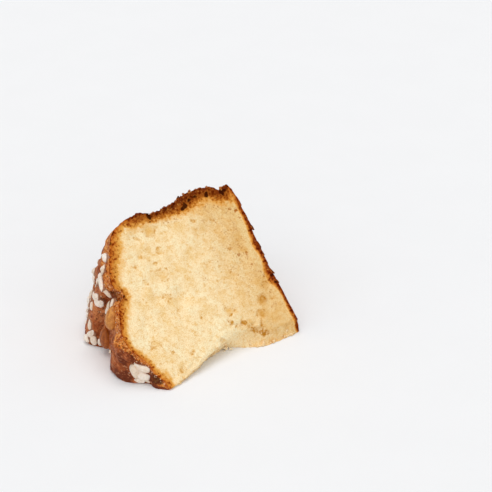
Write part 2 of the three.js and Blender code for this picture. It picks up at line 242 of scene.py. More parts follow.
@dataclass(frozen=True)
class SliceForm:
    """The slice as a surface of (u, v, t), with the sizes that the solid has.

    A pair is a size on the lower cut and on the upper one. A swelling of an edge is, on each cut, its
    middle, its reach before and after that, and its height. A lump of the glaze is (v, t, radius, height), a
    hollow of the crumb (x, distance from the loaf's axis, radius, depth), and a wave (share, length, seed).
    """

    wedge_angle: float = np.radians(42.5)
    loaf_radius: float = 109.6
    loaf_height: float = 104.4
    dome_middle: float = 0.5
    tip_radius: float = 1.1
    shoulder_start: tuple = (65.0, 74.0)
    shoulder_drop: tuple = (28.7, 28.5)
    torn_at_dome: tuple = (1.0, 1.2)
    torn_at_base: tuple = (8.0, 12.0)
    dome_swellings: tuple = (
        ((7, 6, 6, 5), (12.5, 5, 5, 3)),
        ((26.7, 12, 27.5, 17.5), (37, 18, 25.5, 13.5)),
        ((77, 11.5, 19, 9.5), (76, 9, 8, 2.4)),
    )
    side_swellings: tuple = (
        ((40, 14, 16, 1), (44, 3.5, 19.5, -2.2)),
        ((80, 12, 15, 1.8), (77, 11, 15, 3)),
        ((96, 3, 4.7, -0.6), (96, 3, 4.7, -2.9)),
    )
    base_swellings: tuple = (
        ((60, 14, 14, -0.6), (56, 12, 12, -1.1)),
        ((90, 12, 9, 0.6), (94, 9, 8, 1)),
    )
    torn_swellings: tuple = (((53, 31.5, 15, 15.2), (67.5, 37, 19, 12.2)),)
    quarter_arc: float = 0.785
    ring_from: float = 0.5
    ring_hollow: float = 3.0
    crevice_notch: float = 3.6
    notch_reach: float = 10.0
    crevice_at: tuple = (0.495, 0.525)
    crevice_bow: float = 0.07
    crevice_depth: float = 2.6
    crevice_half_width: float = 0.028
    crust_thickness: float = 3.5
    crumb_sink: float = 0.7
    inward_mm: tuple = (108.0, 100.0, 160.0)
    dome_wave: float = 1.1
    dome_waves: tuple = ((0.7, 17, 1), (0.45, 9, 2))
    crumb_wave: float = 0.7
    crumb_waves: tuple = ((0.7, 34, 3), (0.4, 14, 4))
    side_wave: float = 0.8
    side_waves: tuple = ((0.7, 26, 8), (0.5, 10, 9))
    base_wave: float = 0.5
    base_waves: tuple = ((1.0, 21, 5),)
    torn_wave: float = 1.5
    torn_waves: tuple = ((0.6, 12, 6), (0.4, 6.5, 7))
    torn_from: float = 0.12
    face_blend: float = 0.03
    seat_step: float = 0.004
    glaze_lumps: tuple = (
        (0.585, 0.42, 7, 2.2), (0.341, 0.73, 4, 1.2), (0.25, 0.3, 10, 1.2), (0.069, 0.78, 3, -2.2),
        (0.78, 0.6, 8, 1.4), (0.88, 0.25, 9, 1.2), (0.32, 0.06, 9, 3),
    )
    crumb_hollows: tuple = (
        (26, 96, 5, 1.1), (33, 83, 6, 0.7), (27, 68, 7, 0.9), (21, 56, 5, 1), (37, 52, 6, 1.3),
        (64, 31, 5, 1.8), (74, 27, 5, 2), (84, 24, 4, 1.5), (58, 74, 7, 0.6), (80, 88, 6, 0.7),
    )
    foot_centre: tuple = (44.5, 56.5, 0.0)

    @staticmethod
    def between(pair: tuple, t: Array) -> Array:
        """A size at height t, between its value on the lower and on the upper cut."""
        return pair[0] + (pair[1] - pair[0]) * t

    @staticmethod
    def rolling(p: Array, parts: tuple) -> Array:
        """The sum of waves, each given as (share, length, seed)."""
        return sum(share * waves(p, length, seed) for share, length, seed in parts)

    def swell(self, at: Array, swellings: tuple, t: Array) -> Array:
        """The height of an edge's swellings: each is a bell with one reach before its middle and one after.

        Args:
            at: places along the edge in mm.
            swellings: the edge's swellings.
            t: the level of each place.

        Returns:
            The height in mm at each place.
        """
        total = 0.0
        for low, high in swellings:
            middle, before, after, top = (self.between(pair, t) for pair in zip(low, high))
            total = total + top * np.exp(-(((at - middle) / np.where(at < middle, before, after)) ** 2))
        return total

    def dome_edge(self, v: Array, t: Array) -> Array:
        """The dome's edge: nearly level, then a quarter ellipse for the shoulder, less its swellings.

        Args:
            v: how far out, from the centre to the side.
            t: the level.

        Returns:
            (x, radius) of each place.
        """
        start, drop = self.between(self.shoulder_start, t), self.between(self.shoulder_drop, t)
        reach = self.loaf_radius - start
        split = start / (start + (reach + drop) * self.quarter_arc)
        turn = np.clip((v - split) / (1 - split), 0, 1) * np.pi / 2
        radius = self.tip_radius + (start - self.tip_radius) * np.minimum(1, v / split) + reach * np.sin(turn)
        x = self.dome_middle + (drop - self.dome_middle) * (1 - np.cos(turn))
        return np.stack([x - self.swell(radius, self.dome_swellings, t), radius], -1)

    def side_edge(self, u: Array, t: Array) -> Array:
        """The side's edge as (x, radius): the loaf's radius with its swellings."""
        x = self.between(self.shoulder_drop, t) * (1 - u) + self.loaf_height * u
        return np.stack([x, self.loaf_radius + self.swell(x, self.side_swellings, t)], -1)

    def base_edge(self, v: Array, t: Array) -> Array:
        """The base's edge as (x, radius): the loaf's height with its swellings."""
        radius = self.between(self.torn_at_base, t) * (1 - v) + self.loaf_radius * v
        return np.stack([self.loaf_height + self.swell(radius, self.base_swellings, t), radius], -1)

    def torn_edge(self, u: Array, t: Array) -> Array:
        """The torn edge: a slope from dome to base with its swelling, where the loaf's centre is gone.

        Args:
            u: how far along, from dome to base.
            t: the level.

        Returns:
            (x, radius) of each place.
        """
        x = self.dome_middle * (1 - u) + self.loaf_height * u
        level = self.between(self.torn_at_dome, t) * (1 - u) + self.between(self.torn_at_base, t) * u
        return np.stack([x, level + self.swell(x, self.torn_swellings, t)], -1)

    def point(self, u: Array, v: Array, t: Array) -> Array:
        """The place of (u, v, t): a patch stretched over the section's four edges, turned round the axis.

        The dome's outer ring is hollowed between the cuts, and the crevice is notched into the crust there.

        Args:
            u, v, t: arrays of one shape.

        Returns:
            Places in mm, with one more axis of three, measured from the loaf's axis.
        """
        u, v, t = (np.array(a, float) for a in np.broadcast_arrays(u, v, t))
        zero, one, u1, v1 = np.zeros_like(u), np.ones_like(u), u[..., None], v[..., None]
        section = (1 - u1) * self.dome_edge(v, t) + u1 * self.base_edge(v, t)
        section = section + (1 - v1) * self.torn_edge(u, t) + v1 * self.side_edge(u, t)
        section = section - (1 - u1) * ((1 - v1) * self.dome_edge(zero, t) + v1 * self.dome_edge(one, t))
        section = section - u1 * ((1 - v1) * self.base_edge(zero, t) + v1 * self.base_edge(one, t))
        across_ring = np.clip((v - self.ring_from) / (1 - self.ring_from), 0, 1)
        ring = np.maximum(0, np.sin(np.pi * across_ring)) ** 0.8
        x = section[..., 0] + (1 - u) ** 3 * ring * np.sin(np.pi * t) * self.ring_hollow
        x = x + (1 - u) ** self.notch_reach * self.crevice(v, t) * self.crevice_notch
        angle = self.wedge_angle * t
        return np.stack([x, section[..., 1] * np.cos(angle), section[..., 1] * np.sin(angle)], -1)

    def crevice(self, v: Array, t: Array) -> Array:
        """0 to 1: how deep in the crevice between the dome's inner lobe and outer ring a place is."""
        middle = self.between(self.crevice_at, t) + self.crevice_bow * np.sin(np.pi * t)
        return bell(v, middle, self.crevice_half_width)

    def dome_relief(self, p: Array, v: Array, t: Array) -> Array:
        """Outward relief of the glazed dome: its waves and lumps, less the crevice.

        Args:
            p: places in mm.
            v, t: where they are on the dome.

        Returns:
            The height in mm at each place.
        """
        height = self.dome_wave * self.rolling(p, self.dome_waves) - self.crevice_depth * self.crevice(v, t)
        for lump_v, lump_t, radius, top in self.glaze_lumps:
            middle = self.point(0.0, lump_v, lump_t)
            height = height + top * mound(np.linalg.norm(p - middle, axis=-1), radius * FADE_OUT)
        return height

    def crumb_relief(self, p: Array, u: Array, v: Array) -> Array:
        """Outward relief of the upper cut: waves and wide hollows, and the crumb sunk behind the crust.

        Args:
            p: places in mm.
            u, v: where they are on the cut.

        Returns:
            The height in mm at each place.
        """
        radius = np.hypot(p[..., 1], p[..., 2])
        height = self.crumb_wave * self.rolling(p, self.crumb_waves)
        for x, r, size, depth in self.crumb_hollows:
            height = height - depth * mound(np.hypot(p[..., 0] - x, radius - r), size * FADE_OUT)
        from_dome, from_side, from_base = self.inward_mm
        inside = np.minimum(np.minimum(u * from_dome, (1 - v) * from_side), (1 - u) * from_base)
        behind = smoothstep(inside, self.crust_thickness * 0.6, self.crust_thickness * 1.8)
        return height - self.crumb_sink * behind

    def shares(self, u: Array, v: Array, t: Array) -> dict[Face, Array]:
        """How much each face has a say in the relief of a place: a bell of its distance, over their sum.

        Args:
            u, v, t: the places.

        Returns:
            For each face, 1 on it and less beside its edges.
        """
        near = {
            Face.DOME: u,
            Face.BASE: 1 - u,
            Face.TORN: v,
            Face.SIDE: 1 - v,
            Face.UPPER: 1 - t,
            Face.LOWER: t,
        }
        raw = {face: bell(distance, 0, self.face_blend) for face, distance in near.items()}
        total = sum(raw.values())
        return {face: share / total for face, share in raw.items()}

    def relief(self, p: Array, u: Array, v: Array, t: Array) -> Array:
        """Outward relief anywhere on the skin: each face's own, blended beside the edges.

        Args:
            p: places in mm.
            u, v, t: where they are on the slice.

        Returns:
            The height in mm at each place.
        """
        share = self.shares(u, v, t)
        torn = self.torn_wave * self.rolling(p, self.torn_waves) * smoothstep(u, 0, self.torn_from)
        return (
            share[Face.DOME] * self.dome_relief(p, v, t)
            + share[Face.BASE] * self.base_wave * self.rolling(p, self.base_waves)
            + share[Face.TORN] * torn
            + share[Face.SIDE] * self.side_wave * self.rolling(p, self.side_waves)
            + share[Face.UPPER] * self.crumb_relief(p, u, v)
        )

    def seat(self, u: float, v: float, t: float, face: Face = Face.DOME) -> Array:
        """Where something sits on the skin, and which way is out.

        Args:
            u, v, t: the place.
            face: the face that it sits on.

        Returns:
            A 4 by 4 matrix: its columns are the way outwards from the centre or along, the way across, the
            normal, and the place in mm.
        """
        step = self.seat_step
        first, second = {
            Face.DOME: ((0, step, 0), (0, 0, step)),
            Face.BASE: ((0, 0, step), (0, step, 0)),
            Face.SIDE: ((step, 0, 0), (0, 0, step)),
            Face.UPPER: ((0, step, 0), (step, 0, 0)),
            Face.TORN: ((0, 0, step), (step, 0, 0)),
            Face.LOWER: ((step, 0, 0), (0, step, 0)),
        }[face]
        middle = np.array([u, v, t], float)
        ways = []
        for way in (first, second):
            ends = np.stack([middle + way, middle - way])
            run = self.point(*ends.T)
            ways.append((run[0] - run[1]) / np.linalg.norm(run[0] - run[1]))
        out, across = ways
        normal = np.cross(across, out)
        normal /= np.linalg.norm(normal)
        p = self.point(*middle)
        p = p + normal * self.relief(p, *middle)
        matrix = np.eye(4)
        matrix[:3] = np.stack([out, np.cross(normal, out), normal, p], axis=1)
        return matrix

    def placed(self, points: Array, seat: Array, turn: float, lift: float, clear: float) -> Array:
        """Puts a shape made along X, with Z up, on the skin: turned, lifted, and clear of the table.

        Args:
            points: the shape in mm, shape (n, 3).
            seat: a matrix from seat().
            turn: degrees about the normal.
            lift: mm along the normal.
            clear: least height over the table in mm.

        Returns:
            The places of the points.
        """
        a = np.radians(turn)
        out, across, normal, middle = (seat[:3, k] for k in range(4))
        x = out * np.cos(a) + across * np.sin(a)
        moved = points @ np.stack([x, np.cross(normal, x), normal]) + middle + normal * lift
        moved[:, 2] += max(0.0, clear - moved[:, 2].min())
        return moved

    def to_frame(self, p: Array) -> Array:
        """Places in mm from the loaf's axis as metres from the middle of the slice's foot."""
        return (p - np.array(self.foot_centre)) * MM


FORM = SliceForm()


# Meshes


def new_mesh(
    name: str,
    points: Array,
    quads: Array,
    tris: Array | None = None,
    slots: Array | None = None,
    values: dict | None = None,
) -> Object:
    """A smooth-shaded mesh object at the origin, from whole arrays.

    Args:
        name: the object's name.
        points: places in metres, shape (n, 3).
        quads: corners of the four-sided faces, shape (m, 4).
        tris: corners of the three-sided faces, shape (k, 3).
        slots: the material number of each face.
        values: numbers for each point, by the name of their attribute.

    Returns:
        The new object, linked to the scene.
    """
    tris = np.zeros((0, 3), int) if tris is None else tris
    corners = np.concatenate([quads.ravel(), tris.ravel()]).astype(np.int32)
    starts = np.concatenate([np.arange(len(quads)) * 4, len(quads) * 4 + np.arange(len(tris)) * 3])
    mesh = bpy.data.meshes.new(name)
    mesh.vertices.add(len(points))
    mesh.loops.add(len(corners))
    mesh.polygons.add(len(starts))
    mesh.vertices.foreach_set("co", np.ascontiguousarray(points, np.float32).ravel())
    mesh.loops.foreach_set("vertex_index", corners)
    mesh.polygons.foreach_set("loop_start", starts.astype(np.int32))
    if slots is not None:
        mesh.polygons.foreach_set("material_index", slots.astype(np.int32))
    mesh.update(calc_edges=True)
    mesh.polygons.foreach_set("use_smooth", np.ones(len(starts), bool))
    for key, numbers in (values or {}).items():
        mesh.attributes.new(key, "FLOAT", "POINT").data.foreach_set("value", numbers.astype(np.float32))
    mesh.validate()
    piece = bpy.data.objects.new(name, mesh)
    bpy.context.scene.collection.objects.link(piece)
    return piece


def point_normals(points: Array, quads: Array) -> Array:
    """The normal at each point: the sum of its faces' normals, each the cross product of their diagonals.

    Args:
        points: the places, shape (n, 3).
        quads: corners of the four-sided faces, shape (m, 4).

    Returns:
        Directions, each one long, shape (n, 3).
    """
    a, b, c, d = (points[quads[:, k]] for k in range(4))
    each = np.cross(c - a, d - b)
    total = np.zeros_like(points)
    for k in range(4):
        for axis in range(3):
            total[:, axis] += np.bincount(quads[:, k], weights=each[:, axis], minlength=len(points))
    return total / np.maximum(np.linalg.norm(total, axis=1, keepdims=True), 1e-12)


def globe(rows: int, columns: int) -> tuple[Array, Array, Array]:
    """A closed ball of radius 1 as rings between two poles, which lie on the X axis.

    Args:
        rows: rings between the poles.
        columns: points on each ring.

    Returns:
        Points, four-sided faces and the three-sided faces at the poles, all facing outwards.
    """
    polar = np.linspace(0, np.pi, rows + 2)[1:-1]
    round_ = np.arange(columns) * 2 * np.pi / columns
    a, b = np.meshgrid(polar, round_, indexing="ij")
    rings = np.stack([-np.cos(a), np.sin(a) * np.cos(b), np.sin(a) * np.sin(b)], -1).reshape(-1, 3)
    points = np.concatenate([rings, [[-1.0, 0, 0], [1.0, 0, 0]]])
    i, j = np.meshgrid(np.arange(rows - 1), np.arange(columns), indexing="ij")
    nxt = (j + 1) % columns
    quads = np.stack([i * columns + j, i * columns + nxt, (i + 1) * columns + nxt, (i + 1) * columns + j], -1)
    k = np.arange(columns)
    after, last = (k + 1) % columns, (rows - 1) * columns
    low = np.stack([np.full(columns, rows * columns), after, k], -1)
    high = np.stack([np.full(columns, rows * columns + 1), last + k, last + after], -1)
    return points, quads.reshape(-1, 4)[:, ::-1], np.concatenate([low, high])[:, ::-1]


def joined(name: str, shapes: list[Array], quads: Array, tris: Array, values: dict) -> Object:
    """One mesh of many shapes that share the same faces.

    Args:
        name: the object's name.
        shapes: the points of each shape in mm from the loaf's axis.
        quads, tris: the faces of one shape.
        values: one number for each shape or for each point, by the name of the attribute.

    Returns:
        The new object.
    """
    count, size = len(shapes), len(shapes[0])
    shift = (np.arange(count) * size)[:, None, None]
    spread = {}
    for key, numbers in values.items():
        flat = np.asarray(numbers, float).ravel()
        spread[key] = flat if flat.size == count * size else np.repeat(flat, size)
    points = FORM.to_frame(np.concatenate(shapes))
    return new_mesh(name, points, (quads + shift).reshape(-1, 4), (tris + shift).reshape(-1, 3), None, spread)


def chunk(ball: Array, seed: int, planes: int = 9, sharpness: float = 11.0) -> Array:
    """An angular grain about as large as a ball of radius 1: the ball is cut back by planes with soft edges.

    A direction's reach is the sum, over the planes that it looks towards, of (its share of the plane's own
    direction / the plane's distance) to the power of the sharpness, and then that sum's root, turned over.

    Args:
        ball: directions, each one long, shape (n, 3).
        seed: picks another grain.
        planes: how many planes.
        sharpness: the power; larger is more angular.

    Returns:
        The grain's points.
    """
    number = np.arange(planes * 3).reshape(-1, 3)
    way = hashed(np.stack([number, number * 7 + 1, number * 0 + seed], axis=-1), seed) * 2 - 1
    way /= np.linalg.norm(way, axis=1, keepdims=True)
    way = np.concatenate([way, np.eye(3), -np.eye(3)])
    far = np.concatenate([0.56 + 0.36 * hashed(number, seed + 5), np.full(6, 0.94)])
    total = np.full(len(ball), 1.1**-sharpness)
    total = total + (np.maximum(0, ball @ way.T) ** sharpness / far**sharpness).sum(axis=1)
    return ball * (total ** (-1 / sharpness))[:, None]


# Finishes


def linear(hex_colour: str) -> tuple:
    """An sRGB colour such as "#f3d194" as the linear numbers that a shader takes."""
    s = [int(hex_colour[k : k + 2], 16) / 255 for k in (1, 3, 5)]
    return (*[x / 12.92 if x <= 0.04045 else ((x + 0.055) / 1.055) ** 2.4 for x in s], 1.0)


def add(tree: Tree, kind: str, settings: dict | None = None, links: dict | None = None) -> Node:
    """Adds a node. Every mix is one of colours.

    Args:
        tree: the material's nodes.
        kind: the node's type, without the ShaderNode that every type begins with.
        settings: its properties by name, or its sockets' values by name or number. A colour may be hex. Under
            "stops" are a colour ramp's stops, as pairs of place and hex colour or grey level.
        links: what feeds it, by the name or number of its socket: a socket, a node for its main result, or
            the name of an attribute of the mesh.

    Returns:
        The node.
    """
    node = tree.nodes.new("ShaderNode" + kind)
    if kind == "Mix":
        node.data_type = "RGBA"
    for key, value in (settings or {}).items():
        if key == "stops":
            elements = node.color_ramp.elements
            while len(elements) < len(value):
                elements.new(0.5)
            for element, (place, colour) in zip(elements, value):
                element.position = place
                element.color = linear(colour) if isinstance(colour, str) else (colour, colour, colour, 1.0)
        elif isinstance(key, str) and hasattr(node, key):
            setattr(node, key, value)
        else:
            node.inputs[key].default_value = linear(value) if isinstance(value, str) else value
    for key, source in (links or {}).items():
        if isinstance(source, str):
            source = add(tree, "Attribute", {"attribute_name": source})
        if isinstance(source, Node):
            source = source.outputs[2 if source.bl_idname in ("ShaderNodeMix", "ShaderNodeAttribute") else 0]
        tree.links.new(source, node.inputs[key])
    return node


@dataclass(frozen=True)
class Finish:
    """What every finish shares: a shader, places in mm to read patterns at, and a bump from a height."""

    name: str
    roughness: float = 0.7
    specular: float = 0.2
    soft: float = 0.0
    soft_mm: tuple = (3.0, 1.7, 0.7)
    bump: float = 0.4
    bump_mm: float = 0.6

    def look(self, tree: Tree, mm: Node) -> tuple[Node, Node]:
        """The colour and the height of the finish.

        Args:
            tree: the material's nodes.
            mm: the node of the object's coordinates in mm.

        Returns:
            The node of the colour and the node of the height.
        """
        raise NotImplementedError

    def make(self) -> bpy.types.Material:
        """The finished material: the look's colour and bump on one shader.

        Returns:
            The new material.
        """
        material = bpy.data.materials.new(self.name)
        material.use_nodes = True
        tree = material.node_tree
        shader = tree.nodes["Principled BSDF"]
        place = add(tree, "TexCoord")
        mm = add(tree, "Mapping", {"Scale": (1 / MM, 1 / MM, 1 / MM)}, {"Vector": place.outputs["Object"]})
        colour, height = self.look(tree, mm)
        bump = add(tree, "Bump", {"Strength": self.bump, "Distance": self.bump_mm * MM}, {"Height": height})
        result = 2 if colour.bl_idname == "ShaderNodeMix" else 0
        tree.links.new(colour.outputs[result], shader.inputs["Base Color"])
        tree.links.new(bump.outputs["Normal"], shader.inputs["Normal"])
        shader.inputs["Roughness"].default_value = self.roughness
        shader.inputs["Specular IOR Level"].default_value = self.specular
        shader.inputs["Subsurface Weight"].default_value = self.soft
        shader.inputs["Subsurface Radius"].default_value = tuple(r * MM for r in self.soft_mm)
        return material

    @staticmethod
    def speckled(tree: Tree, mm: Node, under: Node, size: float, dark: tuple, bright: tuple) -> Node:
        """A colour with dark spots where a noise is low and bright ones where it is high.

        Args:
            tree: the material's nodes.
            mm: the node of the object's coordinates in mm.
            under: the node of the colour under the spots.
            size: the noise's size in mm.
            dark, bright: the spots' colour, and the level of the noise at which they begin.

        Returns:
            The node of the colour.
        """
        spots = add(tree, "TexNoise", {"Scale": 1 / size, "Detail": 3.0, "Roughness": 0.6}, {"Vector": mm})
        low = add(tree, "ValToRGB", {"stops": [(dark[1] - 0.1, 0.85), (dark[1], 0.0)]}, {"Fac": spots})
        high = add(tree, "ValToRGB", {"stops": [(bright[1], 0.0), (bright[1] + 0.12, 0.8)]}, {"Fac": spots})
        darker = add(tree, "Mix", {7: dark[0]}, {0: low, 6: under})
        return add(tree, "Mix", {7: bright[0]}, {0: high, 6: darker})


@dataclass(frozen=True)
class CrumbFinish(Finish):
    """Rich yellow crumb of butter and yolk, baked and then cut and torn.

    It is matt, so it reads soft. The eye finds cloudy mottling, egg-yellow blotches and bubbles, tan pores,
    golden-brown strands in the pits where it tore, and towards the skin a browned, speckled rind. Painted
    shade darkens it towards the base and the top and on one side of the bubbles' rims, painted light makes it
    paler beside the tear, and the rind has painted glints.
    """

    name: str = "baked_butter_crumb"
    roughness: float = 0.85
    specular: float = 0.0
    bump: float = 0.3
    light: str = "#ffefc8"
    middle: str = "#ffe9be"
    warm: str = "#f9dca6"
    egg: str = "#efc47a"
    bubble: str = "#ecbd6c"
    bubble_shade: str = "#d0912f"
    pore: str = "#be7618"
    pit: str = "#cd9022"
    grain_tone: str = "#e6c688"
    painted_shade_tone: str = "#ead6b2"
    char: str = "#351004"
    fleck: str = "#a4622e"
    painted_glint: str = "#eba650"
    light_rind: tuple = (
        (0.0, "#80300c"),
        (0.06, "#ac5416"),
        (0.16, "#cb7428"),
        (0.3, "#d68836"),
        (0.44, "#e2a048"),
        (0.58, "#e9ae58"),
        (0.76, "#f2c684"),
    )
    dark_rind: tuple = (
        (0.0, "#6a2c12"),
        (0.1, "#722e0e"),
        (0.24, "#86400e"),
        (0.38, "#9e5010"),
        (0.48, "#b8681c"),
        (0.56, "#da943e"),
        (0.7, "#ebb264"),
        (0.8, "#f2c480"),
    )
    cloud_mm: float = 9.0
    smudge_mm: float = 3.0
    dust_mm: float = 0.6
    pore_mm: float = 1.5
    pore_group_mm: float = 5.0
    pore_bend: tuple = (1.6, 2.2)
    strand_mm: float = 2.4
    rind_sway_mm: float = 2.6
    fleck_mm: float = 1.8
    char_mm: float = 1.7

    def look(self, tree: Tree, mm: Node) -> tuple[Node, Node]:
        """Soft crumb first, then its pores and pits, fine grain and painted shade, and the rind over them.

        Args:
            tree: the material's nodes.
            mm: the node of the object's coordinates in mm.

        Returns:
            The node of the colour and the node of the height.
        """
        open_crumb, depth = self.opened(tree, mm, self.soft_crumb(tree, mm))
        dust = add(tree, "TexNoise", {"Scale": 1 / self.dust_mm, "Detail": 2.0}, {"Vector": mm})
        grain = add(tree, "ValToRGB", {"stops": [(0.34, self.grain_tone), (0.58, "#ffffff")]}, {"Fac": dust})
        dimming = {"blend_type": "MULTIPLY", 0: 0.6}
        grained = add(tree, "Mix", dimming, {6: open_crumb, 7: grain})
        # Painted shade: the shade attribute darkens the crumb by this tone, towards the base and the top.
        painted_shading = {"blend_type": "MULTIPLY", 7: self.painted_shade_tone}
        crumb = add(tree, "Mix", painted_shading, {0: "shade", 6: grained})
        height = add(tree, "Math", {"operation": "MULTIPLY_ADD", 1: -0.05}, {0: depth, 2: dust})
        return self.browned(tree, mm, crumb), height

    def soft_crumb(self, tree: Tree, mm: Node) -> Node:
        """Clouds, smudges, and egg-yellow bubbles with painted shade on one side of their rim.

        Args:
            tree: the material's nodes.
            mm: the node of the object's coordinates in mm.

        Returns:
            The node of the colour.
        """
        cloud = add(tree, "TexNoise", {"Scale": 1 / self.cloud_mm, "Detail": 3.0}, {"Vector": mm})
        # The pale attribute holds the crumb's own pale band by the base, and painted light beside the tear.
        level = add(tree, "Math", {"operation": "MULTIPLY_ADD", 1: -0.3}, {0: "pale", 2: cloud})
        tones = [(0.34, self.light), (0.5, self.middle), (0.66, self.warm)]
        tone = add(tree, "ValToRGB", {"stops": tones}, {"Fac": level})
        smudged = {"Scale": 1 / self.smudge_mm, "Detail": 4.0, "Roughness": 0.62}
        smudge = add(tree, "TexNoise", smudged, {"Vector": mm})
        smudges = add(tree, "ValToRGB", {"stops": [(0.48, 0.0), (0.74, 0.85)]}, {"Fac": smudge})
        yellow = add(tree, "Mix", {7: self.egg}, {0: smudges, 6: tone})
        hollows = add(tree, "ValToRGB", {"stops": [(0.1, 0.0), (0.8, 0.75)]}, {"Fac": "hollow"})
        bubbles = add(tree, "Mix", {7: self.bubble}, {0: hollows, 6: yellow})
        # Painted shade: a darker band on one side of each bubble's rim, where the smudge noise is high.
        ring = add(tree, "ValToRGB", {"stops": [(0.1, 0.0), (0.26, 1.0), (0.5, 0.0)]}, {"Fac": "hollow"})
        part = add(tree, "ValToRGB", {"stops": [(0.5, 0.0), (0.62, 0.8)]}, {"Fac": smudge})
        shaded_rims = add(tree, "Math", {"operation": "MULTIPLY"}, {0: ring, 1: part})
        return add(tree, "Mix", {7: self.bubble_shade}, {0: shaded_rims, 6: bubbles})

    def opened(self, tree: Tree, mm: Node, under: Node) -> tuple[Node, Node]:
        """Pores, wider and darker where the crumb is pory, and golden strands in the pits where it tore.

        Args:
            tree: the material's nodes.
            mm: the node of the object's coordinates in mm.
            under: the node of the crumb's colour.

        Returns:
            The node of the colour and the node of the depth.
        """
        bend_mm, bend = self.pore_bend
        warp = add(tree, "TexNoise", {"Scale": 1 / bend_mm, "Detail": 2.0}, {"Vector": mm})
        bending = {"operation": "MULTIPLY_ADD", 1: (bend, bend, bend)}
        bent = add(tree, "VectorMath", bending, {0: warp.outputs["Color"], 2: mm})
        cell = add(tree, "TexVoronoi", {"Scale": 1 / self.pore_mm}, {"Vector": bent})
        group = add(tree, "TexNoise", {"Scale": 1 / self.pore_group_mm, "Detail": 1.0}, {"Vector": mm})
        grouped = add(tree, "Math", {"operation": "MULTIPLY", 1: 0.6}, {0: group})
        more = add(tree, "Math", {"operation": "MULTIPLY_ADD", 1: 0.42}, {0: "pory", 2: grouped})
        open_ = add(tree, "Math", {"operation": "SUBTRACT"}, {0: more, 1: cell})
        depth = add(tree, "ValToRGB", {"stops": [(0.12, 0.0), (0.56, 0.9)]}, {"Fac": open_})
        pores = add(tree, "Mix", {7: self.pore}, {0: depth, 6: under})
        drawn = {"Scale": 1 / self.strand_mm, "Detail": 3.0, "Roughness": 0.6}
        contour = add(tree, "TexNoise", drawn, {"Vector": mm})
        band = [(0.38, 0.34), (0.46, 1.0), (0.54, 1.0), (0.62, 0.34)]
        strand = add(tree, "ValToRGB", {"stops": band}, {"Fac": contour})
        within = add(tree, "ValToRGB", {"stops": [(0.05, 0.0), (0.5, 0.95)]}, {"Fac": "pit"})
        pitted = add(tree, "Math", {"operation": "MULTIPLY"}, {0: strand, 1: within})
        torn = add(tree, "Mix", {7: self.pit}, {0: pitted, 6: pores})
        return torn, add(tree, "Math", {"operation": "MAXIMUM"}, {0: depth, 1: pitted})

    def browned(self, tree: Tree, mm: Node, crumb: Node) -> Node:
        """The rind over the crumb: red-brown at the skin, then orange and golden, flecked, with painted
        glints, and burnt in spots.

        Args:
            tree: the material's nodes.
            mm: the node of the object's coordinates in mm.
            crumb: the node of the crumb's colour.

        Returns:
            The node of the colour.
        """
        swayed = {"Scale": 1 / self.rind_sway_mm, "Detail": 4.0, "Roughness": 0.65}
        sway = add(tree, "TexNoise", swayed, {"Vector": mm})
        edge = add(tree, "Math", {"operation": "MULTIPLY_ADD", 1: 1.3}, {0: sway, 2: "rind"})
        level = add(tree, "Math", {"operation": "MULTIPLY_ADD", 1: 1 / 1.6, 2: -0.406}, {0: edge})
        light_rind = add(tree, "ValToRGB", {"stops": self.light_rind}, {"Fac": level})
        dark_rind = add(tree, "ValToRGB", {"stops": self.dark_rind}, {"Fac": level})
        baked = add(tree, "Mix", {}, {0: "toast", 6: light_rind, 7: dark_rind})
        speckling = {"Scale": 1 / self.fleck_mm, "Detail": 3.0, "Roughness": 0.6}
        spots = add(tree, "TexNoise", speckling, {"Vector": mm})
        low = add(tree, "ValToRGB", {"stops": [(0.37, 0.95), (0.48, 0.0)]}, {"Fac": spots})
        outer = add(tree, "ValToRGB", {"stops": [(0.42, 1.0), (0.58, 0.0)]}, {"Fac": level})
        lower = add(tree, "Math", {"operation": "MULTIPLY"}, {0: low, 1: outer})
        darkening = {"blend_type": "MULTIPLY", 7: self.fleck}
        deeper = add(tree, "Mix", darkening, {0: lower, 6: baked})
        # Painted glints: bright orange specks where the speckle noise is high.
        high = add(tree, "ValToRGB", {"stops": [(0.58, 0.0), (0.72, 0.7)]}, {"Fac": spots})
        with_glints = add(tree, "Mix", {7: self.painted_glint}, {0: high, 6: deeper})
        fraying = {"Scale": 1 / self.char_mm, "Detail": 1.0, "Distortion": 0.3}
        fray = add(tree, "TexNoise", fraying, {"Vector": mm})
        char = add(tree, "Math", {"operation": "MULTIPLY_ADD", 1: 0.9}, {0: fray, 2: "burnt"})
        charred = add(tree, "ValToRGB", {"stops": [(0.75, 0.0), (1.2, 0.92)]}, {"Fac": char})
        speckled = add(tree, "Mix", {7: self.char}, {0: charred, 6: with_glints})
        shown = add(tree, "ValToRGB", {"stops": [(0.56, 1.0), (0.88, 0.0)]}, {"Fac": level})
        return add(tree, "Mix", {}, {0: shown, 6: crumb, 7: speckled})


